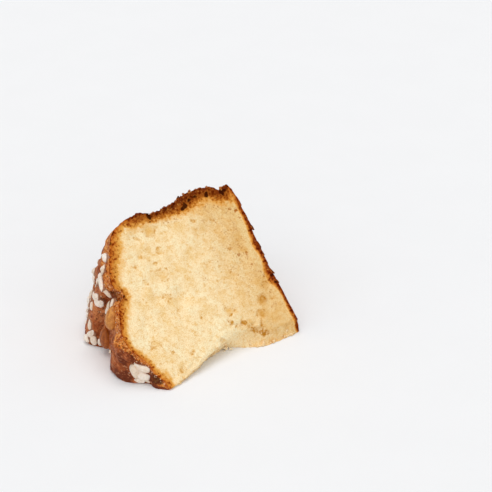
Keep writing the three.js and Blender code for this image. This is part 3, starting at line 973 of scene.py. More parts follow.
@dataclass(frozen=True)
class CrustFinish(Finish):
    """Browned skin where a paper case was peeled away: dry and matt, with dark blisters and paler scuffs."""

    name: str = "peeled_side_crust"
    roughness: float = 0.66
    bump: float = 0.7
    dark: str = "#642c12"
    middle: str = "#8f481e"
    pale: str = "#b8722f"
    spot: str = "#47200e"
    scuff: str = "#d89a58"
    patch_mm: float = 6.5
    blister_mm: float = 4.5
    speck_mm: float = 1.3
    pore_mm: float = 1.9
    grain_mm: float = 1.0

    def look(self, tree: Tree, mm: Node) -> tuple[Node, Node]:
        """Patches, then spots of two sizes and small pores.

        Args:
            tree: the material's nodes.
            mm: the node of the object's coordinates in mm.

        Returns:
            The node of the colour and the node of the height.
        """
        patched = {"Scale": 1 / self.patch_mm, "Detail": 5.0, "Roughness": 0.6}
        patches = add(tree, "TexNoise", patched, {"Vector": mm})
        stops = [(0.32, self.dark), (0.5, self.middle), (0.7, self.pale)]
        colour = add(tree, "ValToRGB", {"stops": stops}, {"Fac": patches})
        large = self.speckled(tree, mm, colour, self.blister_mm, (self.spot, 0.36), (self.scuff, 0.68))
        small = self.speckled(tree, mm, large, self.speck_mm, (self.spot, 0.38), (self.scuff, 0.66))
        cell = add(tree, "TexVoronoi", {"Scale": 1 / self.pore_mm}, {"Vector": mm})
        pores = add(tree, "ValToRGB", {"stops": [(0.1, 0.0), (0.32, 1.0)]}, {"Fac": cell})
        grained = {"Scale": 1 / self.grain_mm, "Detail": 5.0, "Roughness": 0.65}
        grain = add(tree, "TexNoise", grained, {"Vector": mm})
        return small, add(tree, "Math", {"operation": "MULTIPLY_ADD", 1: 0.4}, {0: pores, 2: grain})


@dataclass(frozen=True)
class GlazeFinish(Finish):
    """Nut-and-sugar glaze, baked on the dome to a dry satin coat.

    It is a reddish nut brown with a soft shine and painted glints, and painted shade makes it nearly black in
    the crevices and creases. Along the cut it thins to orange-brown crust, at the shoulder it ends on the
    side's bare crust, and where sugar melted into it there are sparkling specks.
    """

    name: str = "baked_nut_glaze"
    roughness: float = 0.6
    specular: float = 0.14
    bump: float = 0.6
    deep: str = "#6e3016"
    middle: str = "#a8562a"
    light: str = "#c47846"
    fleck: str = "#5f2a14"
    painted_glint: str = "#cc8c62"
    thin_dark: str = "#943e0e"
    thin: str = "#cc7026"
    thin_light: str = "#e6a254"
    scorch: str = "#4a1b0a"
    scuff: str = "#f0c084"
    sugar: str = "#eecbb0"
    crack: str = "#3a1206"
    mottle_mm: float = 6.5
    fleck_mm: float = 1.1
    fray_mm: float = 2.4
    scuff_mm: float = 1.6
    sugar_mm: float = 0.8
    grain_mm: float = 1.3
    streak_turn: tuple = (0.5, 0.4, 0.8)
    streak_scale: tuple = (1.0, 0.3, 0.7)

    def look(self, tree: Tree, mm: Node) -> tuple[Node, Node]:
        """The coat over the bare crust, then melted sugar on it, and painted shade in the crevices and
        creases.

        Args:
            tree: the material's nodes.
            mm: the node of the object's coordinates in mm.

        Returns:
            The node of the colour and the node of the height.
        """
        mottled = {"Scale": 1 / self.mottle_mm, "Detail": 5.0, "Roughness": 0.6}
        broad = add(tree, "TexNoise", mottled, {"Vector": mm})
        frayed = {"Scale": 1 / self.fray_mm, "Detail": 4.0, "Roughness": 0.7}
        fray = add(tree, "TexNoise", frayed, {"Vector": mm})
        drawn_out = {"Rotation": self.streak_turn, "Scale": self.streak_scale}
        streaks = add(tree, "Mapping", drawn_out, {"Vector": mm})
        cover = add(tree, "Math", {"operation": "MULTIPLY_ADD", 1: 1.0}, {0: fray, 2: "glazed"})
        shown = add(tree, "ValToRGB", {"stops": [(0.86, 0.0), (1.08, 1.0)]}, {"Fac": cover})
        bare, coat = self.bare_crust(tree, mm, broad, fray), self.coat(tree, streaks, broad)
        coated = add(tree, "Mix", {}, {0: shown, 6: bare, 7: coat})
        sparkled = {"Scale": 1 / self.sugar_mm, "Detail": 2.0, "Roughness": 0.7}
        spark = add(tree, "TexNoise", sparkled, {"Vector": mm})
        speck = add(tree, "ValToRGB", {"stops": [(0.58, 0.0), (0.7, 0.8)]}, {"Fac": spark})
        specks = add(tree, "Math", {"operation": "MULTIPLY"}, {0: speck, 1: "sugared"})
        bright = add(tree, "Mix", {7: self.sugar}, {0: specks, 6: coated})
        # Painted shade: nearly black in the crevice, the hollows between folds, the creases and the hole near
        # the tip.
        dark = add(tree, "ValToRGB", {"stops": [(0.35, 0.0), (1.0, 0.8)]}, {"Fac": "crack"})
        final = add(tree, "Mix", {7: self.crack}, {0: dark, 6: bright})
        grained = {"Scale": 1 / self.grain_mm, "Detail": 5.0, "Roughness": 0.62}
        grain = add(tree, "TexNoise", grained, {"Vector": streaks})
        return final, add(tree, "Math", {"operation": "MULTIPLY_ADD", 1: 0.4}, {0: specks, 2: grain})

    def coat(self, tree: Tree, streaks: Node, broad: Node) -> Node:
        """The glaze where it is whole: broad mottling, darker where it lies thick, fine dark flecks and
        painted glints.

        Args:
            tree: the material's nodes.
            streaks: the node of the coordinates that draw the flecks out.
            broad: the node of the mottling's noise.

        Returns:
            The node of the colour.
        """
        heavy = add(tree, "Math", {"operation": "MULTIPLY_ADD", 1: -0.12}, {0: "thick", 2: broad})
        tones = [(0.34, self.deep), (0.5, self.middle), (0.66, self.light)]
        coat = add(tree, "ValToRGB", {"stops": tones}, {"Fac": heavy})
        # Painted glints: bright flecks where the drawn-out noise is high, with dark flecks where it is low.
        return self.speckled(tree, streaks, coat, self.fleck_mm, (self.fleck, 0.45), (self.painted_glint, 0.57))

    def bare_crust(self, tree: Tree, mm: Node, broad: Node, fray: Node) -> Node:
        """The crust where the glaze ends: orange-brown beside the cut, and the side's own at the shoulder.

        Args:
            tree: the material's nodes.
            mm: the node of the object's coordinates in mm.
            broad: the node of the mottling's noise.
            fray: the node of the noise that frays the glaze's end.

        Returns:
            The node of the colour.
        """
        tones = [(0.36, self.thin_dark), (0.5, self.thin), (0.64, self.thin_light)]
        crust = add(tree, "ValToRGB", {"stops": tones}, {"Fac": fray})
        rough = self.speckled(tree, mm, crust, self.scuff_mm, (self.scorch, 0.45), (self.scuff, 0.58))
        frayed = add(tree, "Math", {"operation": "MULTIPLY_ADD", 1: 0.8}, {0: fray, 2: "shoulder"})
        beside = add(tree, "ValToRGB", {"stops": [(0.85, 0.0), (1.25, 1.0)]}, {"Fac": frayed})
        side_tones = [(0.32, CrustFinish.dark), (0.5, CrustFinish.middle), (0.7, CrustFinish.pale)]
        side = add(tree, "ValToRGB", {"stops": side_tones}, {"Fac": broad})
        return add(tree, "Mix", {}, {0: beside, 6: rough, 7: side})


@dataclass(frozen=True)
class SugarFinish(Finish):
    """Pressed pearl sugar: opaque off-white grains that let a little light in, stained brown at the foot."""

    name: str = "pearl_sugar"
    roughness: float = 0.55
    specular: float = 0.3
    soft: float = 0.2
    soft_mm: tuple = (2.0, 1.6, 1.2)
    bump: float = 0.35
    light: str = "#f8ece0"
    shade: str = "#e2cbb2"
    stain: str = "#9a6038"
    cloud_mm: float = 1.6
    grain_mm: float = 0.7

    def look(self, tree: Tree, mm: Node) -> tuple[Node, Node]:
        """A little darker and warmer from one nib to the next, and stained where the glaze wets it.

        Args:
            tree: the material's nodes.
            mm: the node of the object's coordinates in mm.

        Returns:
            The node of the colour and the node of the height.
        """
        noise = add(tree, "TexNoise", {"Scale": 1 / self.cloud_mm, "Detail": 3.0}, {"Vector": mm})
        both = add(tree, "Math", {"operation": "MULTIPLY_ADD", 1: 0.5}, {0: "own", 2: noise})
        colour = add(tree, "ValToRGB", {"stops": [(0.4, self.light), (1.0, self.shade)]}, {"Fac": both})
        wet = add(tree, "Math", {"operation": "MULTIPLY_ADD", 1: 0.9}, {0: noise, 2: "foot"})
        stained = add(tree, "ValToRGB", {"stops": [(0.75, 0.0), (1.15, 0.9)]}, {"Fac": wet})
        grain = add(tree, "TexNoise", {"Scale": 1 / self.grain_mm, "Detail": 3.0}, {"Vector": mm})
        return add(tree, "Mix", {7: self.stain}, {0: stained, 6: colour}), grain


@dataclass(frozen=True)
class AlmondFinish(Finish):
    """Roasted almond skin: a thin ridged brown skin with paler ridges, satin where glaze ran over it."""

    name: str = "roasted_almond_skin"
    roughness: float = 0.42
    specular: float = 0.25
    dark: str = "#6d3618"
    light: str = "#b06e3c"
    spot: str = "#4e2210"
    painted_glint: str = "#d79a62"
    cloud_mm: float = 2.2
    spot_mm: float = 1.6

    def look(self, tree: Tree, mm: Node) -> tuple[Node, Node]:
        """Ridges along the nut, then small dark spots of glaze and painted glints.

        Args:
            tree: the material's nodes.
            mm: the node of the object's coordinates in mm.

        Returns:
            The node of the colour and the node of the height.
        """
        clouded = {"Scale": 1 / self.cloud_mm, "Detail": 4.0, "Roughness": 0.6}
        noise = add(tree, "TexNoise", clouded, {"Vector": mm})
        both = add(tree, "Math", {"operation": "MULTIPLY_ADD", 1: 0.45}, {0: "ridge", 2: noise})
        colour = add(tree, "ValToRGB", {"stops": [(0.5, self.dark), (0.92, self.light)]}, {"Fac": both})
        # Painted glints: bright specks where the noise is high, with dark spots of glaze where it is low.
        return self.speckled(tree, mm, colour, self.spot_mm, (self.spot, 0.38), (self.painted_glint, 0.66)), both


@dataclass(frozen=True)
class PaperFinish(Finish):
    """Pale seamless paper, matt and even, with a trace of tooth."""

    name: str = "studio_paper"
    roughness: float = 0.95
    specular: float = 0.0
    bump: float = 0.02
    tint: str = "#f0f0f1"
    other: str = "#efeff0"
    cloud_mm: float = 40.0

    def look(self, tree: Tree, mm: Node) -> tuple[Node, Node]:
        """Two tints so near each other that they read as one."""
        noise = add(tree, "TexNoise", {"Scale": 1 / self.cloud_mm}, {"Vector": mm})
        return add(tree, "ValToRGB", {"stops": [(0.3, self.tint), (0.7, self.other)]}, {"Fac": noise}), noise


# The bread


@dataclass(frozen=True)
class SkinPlaces:
    """Where the points of the bread's skin lie on the slice.

    u, v and t are as for the form, and flat is the place in mm before any relief. In mm too are radius, the
    distance from the loaf's axis, and from_tear, that from the upper cut's torn edge. upper_edge is 1 on the
    upper cut and falls off below it, and weight holds each face's share in a point.
    """

    u: Array
    v: Array
    t: Array
    flat: Array
    radius: Array
    from_tear: Array
    upper_edge: Array
    weight: dict

    @classmethod
    def of(cls, uvt: Array, breadth: float) -> "SkinPlaces":
        """The places of points.

        Args:
            uvt: (u, v, t) of each point.
            breadth: about how many mm it is from the centre out to the side.

        Returns:
            Where each point lies.
        """
        u, v, t = uvt.T
        flat = FORM.point(u, v, t)
        radius = np.hypot(flat[:, 1], flat[:, 2])
        from_tear = np.hypot(v * breadth, (1 - t) * FORM.wedge_angle * radius)
        return cls(u, v, t, flat, radius, from_tear, smoothstep(t, 0.86, 1.0), FORM.shares(u, v, t))


@dataclass
class BreadBody:
    """Crumb, crust and glaze as one closed skin, finer than the solid and with the same form.

    Places on the upper cut are (x, distance from the loaf's axis, reach, strength), in mm. A torn pit has its
    level between the cuts before its reach. A bell of the rind is (place along the edge, reach, height), a
    notch is (x, reach, depth), a plate of the base is (from, to, height), and bubbles are (size, share of the
    cells that have one, depth, seed).
    """

    steps_along: int = 140
    steps_out: int = 150
    steps_up: int = 96
    smoothing_rounds: int = 260
    cut_size: tuple = (104.0, 98.0)
    side_length: float = 76.0
    tear_breadth: float = 100.0
    base_depth: float = 105.0
    rind_samples: int = 260
    rind_at_once: int = 4000
    rind_least: tuple = (4.2, 5.6, 2.9)
    base_rind_wave: tuple = (0.3, 23)
    rind_on_dome: tuple = ((8, 6, 1.8), (56, 7, 2.0), (75, 10, 3.0), (94, 9, 4.6))
    rind_on_side: tuple = ((30, 9, 2.0), (72, 14, 4.8), (99, 6, 4.2))
    rind_on_base: tuple = ((110, 6, 4.0), (66, 5, 1.2), (44, 7, 2.6))
    burnt_spots: tuple = (
        (42.2, 105.6, 1.4, 1.7), (42.5, 107.6, 1.8, 1.9), (41.7, 109.0, 1.8, 1.6),
        (41.2, 103.0, 1.0, 1.2), (69.4, 105.3, 1.8, 1.2), (67.1, 103.9, 1.8, 1.2),
        (73.5, 107.5, 1.6, 0.9), (78.0, 108.3, 2.0, 0.9), (86.4, 107.4, 1.8, 1.4),
        (97.2, 105.0, 1.5, 1.4), (99.6, 106.4, 1.3, 1.1), (91.5, 103.2, 1.1, 0.8),
        (98.1, 108.9, 1.4, 0.9), (102.8, 108.3, 1.5, 0.9), (55.0, 107.6, 1.6, 0.6),
        (61.0, 107.0, 1.8, 0.7), (9.4, 98.8, 1.5, 0.8), (13.1, 103.8, 1.6, 0.8), (5.5, 95.5, 1.2, 0.7),
        (2.0, 87.5, 1.4, 0.7), (-0.4, 80.1, 1.4, 0.7), (-2.9, 70.6, 1.4, 0.7), (1.7, 64.3, 1.8, 0.8),
        (103.4, 57.0, 1.6, 0.8), (103.0, 44.8, 1.6, 0.8), (102.4, 39.6, 1.5, 0.9),
    )
    side_notches: tuple = (
        (43.2, 0.9, 2.4), (57.0, 0.8, 0.8), (64.0, 0.9, 0.8), (69.3, 0.7, 0.9), (88.3, 1.0, 0.8),
        (96.9, 1.1, 1.5),
    )
    base_plates: tuple = (
        (109.6, 93.0, 0.8), (93.0, 85.0, 0.8), (85.0, 76.9, 1.0), (76.9, 64.8, 0.8), (64.8, 52.3, 0.8),
    )
    bubble_sizes: tuple = ((9.0, 0.22, 0.8, 31), (5.2, 0.26, 0.5, 47), (2.8, 0.3, 0.3, 59))
    placed_bubbles: tuple = (
        (37.5, 98.0, 4.6, 0.9), (27.1, 96.1, 1.8, 0.6), (22.8, 83.3, 1.8, 0.6), (31.1, 76.6, 1.6, 0.6),
        (38.0, 83.8, 3.0, 0.5), (31.9, 68.4, 5.0, 0.55), (19.0, 68.0, 2.2, 0.6), (28.1, 54.5, 3.6, 0.45),
        (87.2, 31.9, 3.4, 0.9), (83.0, 23.9, 3.6, 0.8),
    )
    pory_spots: tuple = (
        (97.8, 99.0, 2.0, 1.0), (97.7, 93.3, 1.8, 1.1), (97.7, 89.7, 1.8, 0.9), (101.0, 91.5, 1.8, 2.2),
        (101.1, 87.1, 1.8, 2.0), (92.7, 91.3, 1.8, 0.6), (95.0, 84.0, 3.0, 0.5), (93.8, 73.7, 1.6, 0.9),
        (95.8, 71.6, 1.6, 1.0), (92.4, 68.4, 2.0, 0.8), (93.0, 64.0, 2.0, 0.8), (94.2, 55.0, 1.8, 1.2),
        (92.9, 59.7, 2.6, 0.5), (87.0, 64.5, 2.4, 0.6), (96.8, 48.4, 2.2, 1.1), (98.4, 45.7, 2.0, 1.0),
        (98.7, 40.7, 2.2, 1.1), (97.3, 35.5, 2.0, 1.0), (92.6, 35.6, 2.0, 0.6), (92.7, 39.9, 2.2, 0.6),
        (93.5, 25.6, 3.0, 0.8), (58.0, 57.4, 2.6, 0.5), (44.5, 38.0, 2.2, 0.5), (57.0, 54.9, 2.2, 0.4),
        (60.5, 38.0, 2.2, 0.6), (37.0, 90.4, 1.2, 0.7), (28.8, 95.9, 1.4, 0.8), (20.5, 98.5, 1.8, 0.7),
        (24.0, 101.0, 1.6, 0.7), (52.0, 99.5, 2.0, 0.8), (57.5, 98.5, 1.8, 0.8),
    )
    torn_pits: tuple = (
        (63.6, 30.1, 0.95, 1.5, 1.0), (60.4, 26.2, 0.96, 1.6, 0.8), (68.9, 22.8, 0.91, 2.4, 0.9),
        (62.9, 22.1, 0.931, 1.4, 0.6), (73.2, 17.5, 0.809, 2.2, 0.8), (80.3, 13.7, 0.649, 2.6, 0.9),
        (79.9, 17.7, 0.877, 2.2, 0.6), (76.9, 16.2, 0.706, 1.8, 0.7), (87.8, 32.1, 0.956, 3.0, 0.45),
        (83.6, 24.1, 0.95, 2.4, 0.4), (48.9, 17.8, 0.936, 2.0, 0.35),
    )
    bubble_stretch: tuple = (0.75, 1, 1)
    bubble_drift: Roughness = Roughness(0.8, 4, 1, 71)
    spot_drift: Roughness = Roughness(1.5, 3, 2, 81)
    pit_drift: Roughness = Roughness(3.2, 2.6, 3, 91)
    ragged: Roughness = Roughness(1.0, 2.6, 3, 21)
    crumb_swell: Roughness = Roughness(0.3, 6, 1, 33)
    crumb_grain: Roughness = Roughness(0.2, 1.9, 2, 5)
    torn_lumps: Roughness = Roughness(1.1, 7, 4, 22)
    torn_grain: Roughness = Roughness(0.8, 2.2, 3, 24)
    folds: Roughness = Roughness(1.0, 9, 3, 7)
    creases: Roughness = Roughness(1.0, 7, 3, 37)
    flakes: Roughness = Roughness(1.0, 2.3, 3, 23)
    glaze_grain: Roughness = Roughness(0.5, 5, 4, 8)
    side_crags: Roughness = Roughness(2.6, 1.8, 2, 27)
    side_grain: Roughness = Roughness(0.5, 4, 4, 9)
    base_grain: Roughness = Roughness(0.3, 3, 3, 10)
    foot_fray: Roughness = Roughness(1.5, 5, 4, 41)

    def grids(self) -> tuple[Array, Array, Array]:
        """The six welded grids of the slice's skin.

        Returns:
            (u, v, t) of each point, quads that look outwards, and the face of the slice that each is on.
        """
        nu, nv, nt = self.steps_along, self.steps_out, self.steps_up
        plans = (
            (Face.DOME, nv, nt, lambda a, b: (0 * a, a, b), True),
            (Face.BASE, nv, nt, lambda a, b: (0 * a + nu, a, b), False),
            (Face.TORN, nu, nt, lambda a, b: (a, 0 * a, b), False),
            (Face.SIDE, nu, nt, lambda a, b: (a, 0 * a + nv, b), True),
            (Face.UPPER, nu, nv, lambda a, b: (a, b, 0 * a + nt), False),
            (Face.LOWER, nu, nv, lambda a, b: (a, b, 0 * a), True),
        )
        keys, quads, slots, begun = [], [], [], 0
        for face, n, m, place, flip in plans:
            a, b = np.meshgrid(np.arange(n + 1), np.arange(m + 1), indexing="ij")
            i, j, k = place(a, b)
            keys.append(((i * (nv + 1) + j) * (nt + 1) + k).ravel())
            number = begun + np.arange((n + 1) * (m + 1)).reshape(n + 1, m + 1)
            corners = [number[:-1, :-1], number[1:, :-1], number[1:, 1:], number[:-1, 1:]]
            square = np.stack(corners, -1).reshape(-1, 4)
            quads.append(square[:, ::-1] if flip else square)
            slots.append(np.full(len(square), face.value))
            begun += number.size
        unique, back = np.unique(np.concatenate(keys), return_inverse=True)
        i, j, k = unique // ((nv + 1) * (nt + 1)), unique // (nt + 1) % (nv + 1), unique % (nt + 1)
        ijk = np.stack([i, j, k], -1)
        uvt = ijk / np.array([nu, nv, nt])
        return uvt, back[np.concatenate(quads)], np.concatenate(slots)

    def rind(self, uvt: Array, p: Array) -> tuple[Array, Array]:
        """How far in from the browned skin each point lies, as a share of the rind's thickness there.

        The rind's outer line is sampled on the section's edges, each sample with its own thickness. The
        share is the least distance over thickness, and toast is how dark the rind is at that sample.

        Args:
            uvt: (u, v, t) of each point.
            p: places in mm.

        Returns:
            The share and the toast of each point.
        """
        flat = np.stack([p[:, 0], np.hypot(p[:, 1], p[:, 2])], axis=1)
        s = np.linspace(0, 1, self.rind_samples)
        share, toast = np.full(len(p), 9.0), np.zeros(len(p))
        for level in (0.0, 0.5, 1.0):
            mine = np.flatnonzero(np.abs(uvt[:, 2] - level) <= 0.25 + 0.25 * (level == 0.5))
            h = np.full_like(s, level)
            dome, side, base = FORM.dome_edge(s, h), FORM.side_edge(s, h), FORM.base_edge(s, h)
            dome[:, 0] += bell(s, 0.75, 0.14) * FORM.ring_hollow * np.sin(np.pi * level)
            dome[:, 0] += FORM.crevice(s, h) * FORM.crevice_notch
            line = np.concatenate([dome, side, base])
            on_dome, on_side, on_base = self.rind_least
            height, pace = self.base_rind_wave
            thick_dome = on_dome + self.bells(dome[:, 1], self.rind_on_dome)
            thick_side = on_side + self.bells(side[:, 0], self.rind_on_side)
            thick_base = on_base + height * np.sin(s * pace) + self.bells(base[:, 1], self.rind_on_base)
            thick = np.concatenate([thick_dome, thick_side, thick_base])
            dome_tone, side_tone = 0.1 + 0.5 * FORM.crevice(s, h), 0.85 - 0.5 * bell(side[:, 0], 25, 14)
            tone = np.concatenate([dome_tone, side_tone, 0.25 + 0 * s])
            hard = np.concatenate([1 + 0 * s, 1 + 0 * s, 1 + 1.2 * smoothstep(-base[:, 1], -104, -88)])
            for part in np.array_split(mine, max(1, len(mine) // self.rind_at_once)):
                ratio = np.linalg.norm(flat[part, None] - line[None], axis=2) / thick
                best = ratio.argmin(axis=1)
                share[part] = np.maximum(0, 1 + (ratio[np.arange(len(part)), best] - 1) * hard[best])
                toast[part] = tone[best]
        return share, toast

    @staticmethod
    def bells(at: Array, parts: tuple) -> Array:
        """The sum of the bells that are given as (middle, reach, height)."""
        return sum(top * bell(at, middle, reach) for middle, reach, top in parts)

    @staticmethod
    def patches(p: Array, spots: tuple) -> Array:
        """The sum of the mounds at places (x, distance from the loaf's axis, reach, strength).

        Args:
            p: places in mm.
            spots: the mounds' own places.

        Returns:
            The sum at each place.
        """
        radius = np.hypot(p[:, 1], p[:, 2])
        return sum(
            top * mound(np.hypot(p[:, 0] - x, radius - r), reach * FADE_OUT) for x, r, reach, top in spots
        )

    @staticmethod
    def softened(p: Array, quads: Array, share: Array, rounds: int) -> Array:
        """Each point moves by its share of the way to the middle of its neighbours, round after round.

        Args:
            p: the points.
            quads: the faces, which tell each point's neighbours.
            share: how far each point moves, from 0 to 1.
            rounds: how many rounds.

        Returns:
            The points where they end.
        """
        here, there = np.concatenate([quads[:, [k, (k + 1) % 4]] for k in range(4)]).T
        count = np.bincount(here, minlength=len(p))
        for _ in range(rounds):
            total = [np.bincount(here, weights=p[there, axis], minlength=len(p)) for axis in range(3)]
            p = p + share[:, None] * (np.stack(total, axis=1) / count[:, None] - p)
        return p

    def welling(self, p: Array, nibs: list, almonds: tuple) -> Array:
        """How far the glaze wells up round the nibs and almonds in mm: a low ridge at the foot of each.

        Args:
            p: places in mm.
            nibs: the nibs, as (v, t, length, width, turn).
            almonds: the almonds.

        Returns:
            The height at each place.
        """
        feet = [(v, t, (length + width) / 4, 0.5) for v, t, length, width, _ in nibs]
        feet += [(nut.v, nut.t, (nut.length + nut.width) / 4, 0.8) for nut in almonds]
        feet += [(nut.v, nut.t, nut.width / 3, 1.7) for nut in almonds if nut.node == "almond_fold"]
        height = np.zeros(len(p))
        for v, t, reach, top in feet:
            away = np.linalg.norm(p - FORM.point(0.0, v, t), axis=1)
            height = np.maximum(height, top * bell(np.maximum(away, reach), reach, 1.3))
        return height

    def rounding(self, on: SkinPlaces) -> Array:
        """How much the softening moves each point: fully by the tear, and a little along the other edges.

        Args:
            on: where the points lie.

        Returns:
            A share for each point.
        """
        torn = smoothstep(-on.from_tear, -20, -1) * smoothstep(on.u, 0.03, 0.16)
        torn = torn * smoothstep(1 - on.u, 0.03, 0.2) * smoothstep(on.t, 0, 0.3)
        length, breadth = self.cut_size
        inward = np.minimum(on.u * length, (1 - on.v) * breadth)
        from_edge = np.hypot(inward, (1 - on.t) * FORM.wedge_angle * on.radius)
        corner = mound(np.hypot((1 - on.u) * self.side_length, (1 - on.v) * breadth), 4)
        edges = 0.012 * smoothstep(-from_edge, -3, -0.5) + 0.03 * corner * smoothstep(on.t, 0.9, 1)
        return np.maximum(torn, edges)

    def bubbles(self, on: SkinPlaces, p: Array) -> Array:
        """How deep each point lies in a bubble of the crumb: those placed, then those of each size.

        Args:
            on: where the points lie.
            p: the points in mm.

        Returns:
            About 0 to 1 at each point.
        """
        warped = p * np.array(self.bubble_stretch) + self.bubble_drift.drift(p)
        hollow = self.patches(p, self.placed_bubbles) * (on.weight[Face.UPPER] > 0.5)
        for size, chosen, depth, seed in self.bubble_sizes:
            away, own = cells(warped, size, seed)
            hollow = hollow + 0.8 * depth * (own < chosen) * (1 - np.minimum(1, away / 0.4) ** 2) ** 1.5
        return hollow

    def pits(self, p: Array) -> Array:
        """How deep each point lies in a pit where the crumb tore.

        Args:
            p: the points in mm.

        Returns:
            0 to 1 at each point.
        """
        frayed = p + self.pit_drift.drift(p)
        pit = np.zeros(len(p))
        for x, r, level, reach, top in self.torn_pits:
            turn = FORM.wedge_angle * level
            away = np.linalg.norm(frayed - np.array([x, r * np.cos(turn), r * np.sin(turn)]), axis=1)
            pit = np.maximum(pit, top * mound(away, reach * 1.5))
        return pit

    def pores(self, on: SkinPlaces, p: Array, warp: Array, share: Array, band: Array) -> Array:
        """How pory the upper cut is: in spots, under the rind and towards the base, less in the pale band.

        Args:
            on: where the points lie.
            p: the points in mm.
            warp: the points moved about, so that spots have uneven edges.
            share: what rind() gave.
            band: how much of the pale band by the base each point is in.

        Returns:
            A level for each point.
        """
        upper = on.weight[Face.UPPER] > 0.5
        pory = self.patches(warp, self.pory_spots) * upper
        pory = pory + 0.25 * bell(share, 1.2, 0.3) * upper - 0.8 * band
        return pory + 0.4 * smoothstep(p[:, 0], 60, 84) * smoothstep(on.radius, 30, 55) * upper

    def crumb_height(self, on: SkinPlaces, p: Array, share: Array, hollow: Array, pit: Array) -> Array:
        """The relief of crumb: grain, bubbles and pits inside, a ragged rind, and lumps along the tear.

        Args:
            on: where the points lie.
            p: the points in mm.
            share, hollow, pit: what rind(), bubbles() and pits() gave.

        Returns:
            The height in mm at each point.
        """
        weight, ragged = on.weight, self.ragged.at(p)
        inside = smoothstep(share, 0.7, 1.5)
        opened = self.crumb_grain.at(p) - 0.6 * hollow - 1.2 * pit * smoothstep(ragged, -0.3, 0.3)
        crumb = self.crumb_swell.at(p) + inside * opened
        crumb = (weight[Face.UPPER] + weight[Face.TORN]) * (crumb + 0.35 * (1 - inside) * ragged)
        lumpy = bell(on.from_tear, 0, 9) * smoothstep(on.u, 0.03, 0.12) * (1 - weight[Face.BASE])
        return crumb + lumpy * (self.torn_lumps.at(p) + self.torn_grain.at(p))

    def crust_heights(self, on: SkinPlaces, p: Array, hollow: Array, flaky: Array) -> tuple[Array, Array]:
        """The relief of side and base: grain, scales at the upper edge, notches, and plates of the base.

        Args:
            on: where the points lie.
            p: the points in mm.
            hollow: what bubbles() gave.
            flaky: the scales along the upper edge.

        Returns:
            The height in mm at each point from the side, and that from the base.
        """
        x, edge = on.flat[:, 0], on.upper_edge
        notched = edge * self.bells(x, self.side_notches)
        crags = edge * (np.abs(self.side_crags.at(p)) + 1.4 * bell(x, 80, 18))
        side = self.side_grain.at(p) + 1.5 * flaky + crags - notched - 0.4 * hollow
        run = [(start - on.radius) / (start - end) for start, end, _ in self.base_plates]
        plates = sum(top * r * (r >= 0) * (r < 1) for r, (_, _, top) in zip(run, self.base_plates))
        base = self.base_grain.at(p) + 1.6 * edge * plates - 0.5 * hollow
        return on.weight[Face.SIDE] * side, on.weight[Face.BASE] * base

    def glaze_values(self, on: SkinPlaces, fold: Array, crease: Array) -> dict:
        """What the glaze's finish asks of each point.

        The coat ends near the cut and thins towards the side, and painted shade darkens the crevice, the
        hollows between the folds, the creases and a hole near the tip. Melted sugar lies in strips by the
        upper cut.

        Args:
            on: where the points lie.
            fold, crease: how sharply the glaze folds and creases at each point.

        Returns:
            The values by name.
        """
        v, t = on.v, on.t
        near_cut = 0.6 * smoothstep(t, 0.62, 0.88) * smoothstep(v, 0.22, 0.34)
        near_cut = near_cut + 0.45 * smoothstep(t, 0.82, 0.96)
        near_cut = near_cut + 0.5 * smoothstep(-v, -0.13, -0.06) * smoothstep(t, 0.2, 0.5)
        # Painted shade in the crevice, between the folds, in the creases, and in the hole near the tip.
        crack = 0.35 * FORM.crevice(v, t) ** 2 + 0.5 * smoothstep(-fold, -0.12, -0.01)
        crack = crack + 0.45 * smoothstep(crease, 0.35, 0.9)
        crack = crack + 2.0 * mound(np.hypot((v - 0.07) * 110, (t - 0.75) * 8), 5)
        strips = bell(v, 0.58, 0.07) + bell(v, 0.12, 0.08) + 0.6 * bell(v, 0.42, 0.06)
        thin = 0.5 * bell(v, 0.42, 0.06)
        thinner = 1.3 * bell(v, 0.6, 0.06) * bell(t, 0.42, 0.25)
        return {
            "thick": smoothstep(-v, -0.36, -0.24) - thin - thinner,
            "glazed": 0.75 - near_cut - 0.4 * smoothstep(v, 0.5, 0.97),
            "crack": np.clip(crack, 0, 1),
            "sugared": smoothstep(t, 0.72, 0.9) * strips,
            "shoulder": smoothstep(v, 0.82, 1.0),
        }

    def finishes(self) -> tuple:
        """The materials of the six faces.

        Returns:
            One for each face, in the order of their numbers.
        """
        crumb, side = CrumbFinish().make(), CrustFinish().make()
        tones = {"dark": "#6b3211", "middle": "#9c5a26", "pale": "#c58a48", "spot": "#4a200c"}
        base = CrustFinish(name="oven_base_crust", patch_mm=9.0, **tones).make()
        return GlazeFinish().make(), base, side, crumb, crumb, crumb

    def build(self, nibs: list, almonds: tuple) -> Object:
        """The skin: the form's broad relief, then each face's fine relief along the normals.

        Args:
            nibs, almonds: what the glaze wells up round.

        Returns:
            The object, with one material slot for each face of the slice.
        """
        uvt, quads, slots = self.grids()
        on = SkinPlaces.of(uvt, self.tear_breadth)
        u, v, t, flat, weight = on.u, on.v, on.t, on.flat, on.weight
        p = flat + point_normals(flat, quads) * FORM.relief(flat, u, v, t)[:, None]
        p = self.softened(p, quads, self.rounding(on), self.smoothing_rounds)
        share, toast = self.rind(uvt, flat)
        warp, hollow, pit = p + self.spot_drift.drift(p), self.bubbles(on, p), self.pits(p)
        band = bell((1 - u) * self.base_depth, 5.5, 2.5) * smoothstep(on.radius, 46, 58)
        band = band * (weight[Face.UPPER] > 0.5)
        beside_tear = smoothstep(-on.from_tear, -18, -3) * smoothstep(u, 0.1, 0.4)
        golden = beside_tear * smoothstep(p[:, 0], 54, 74)
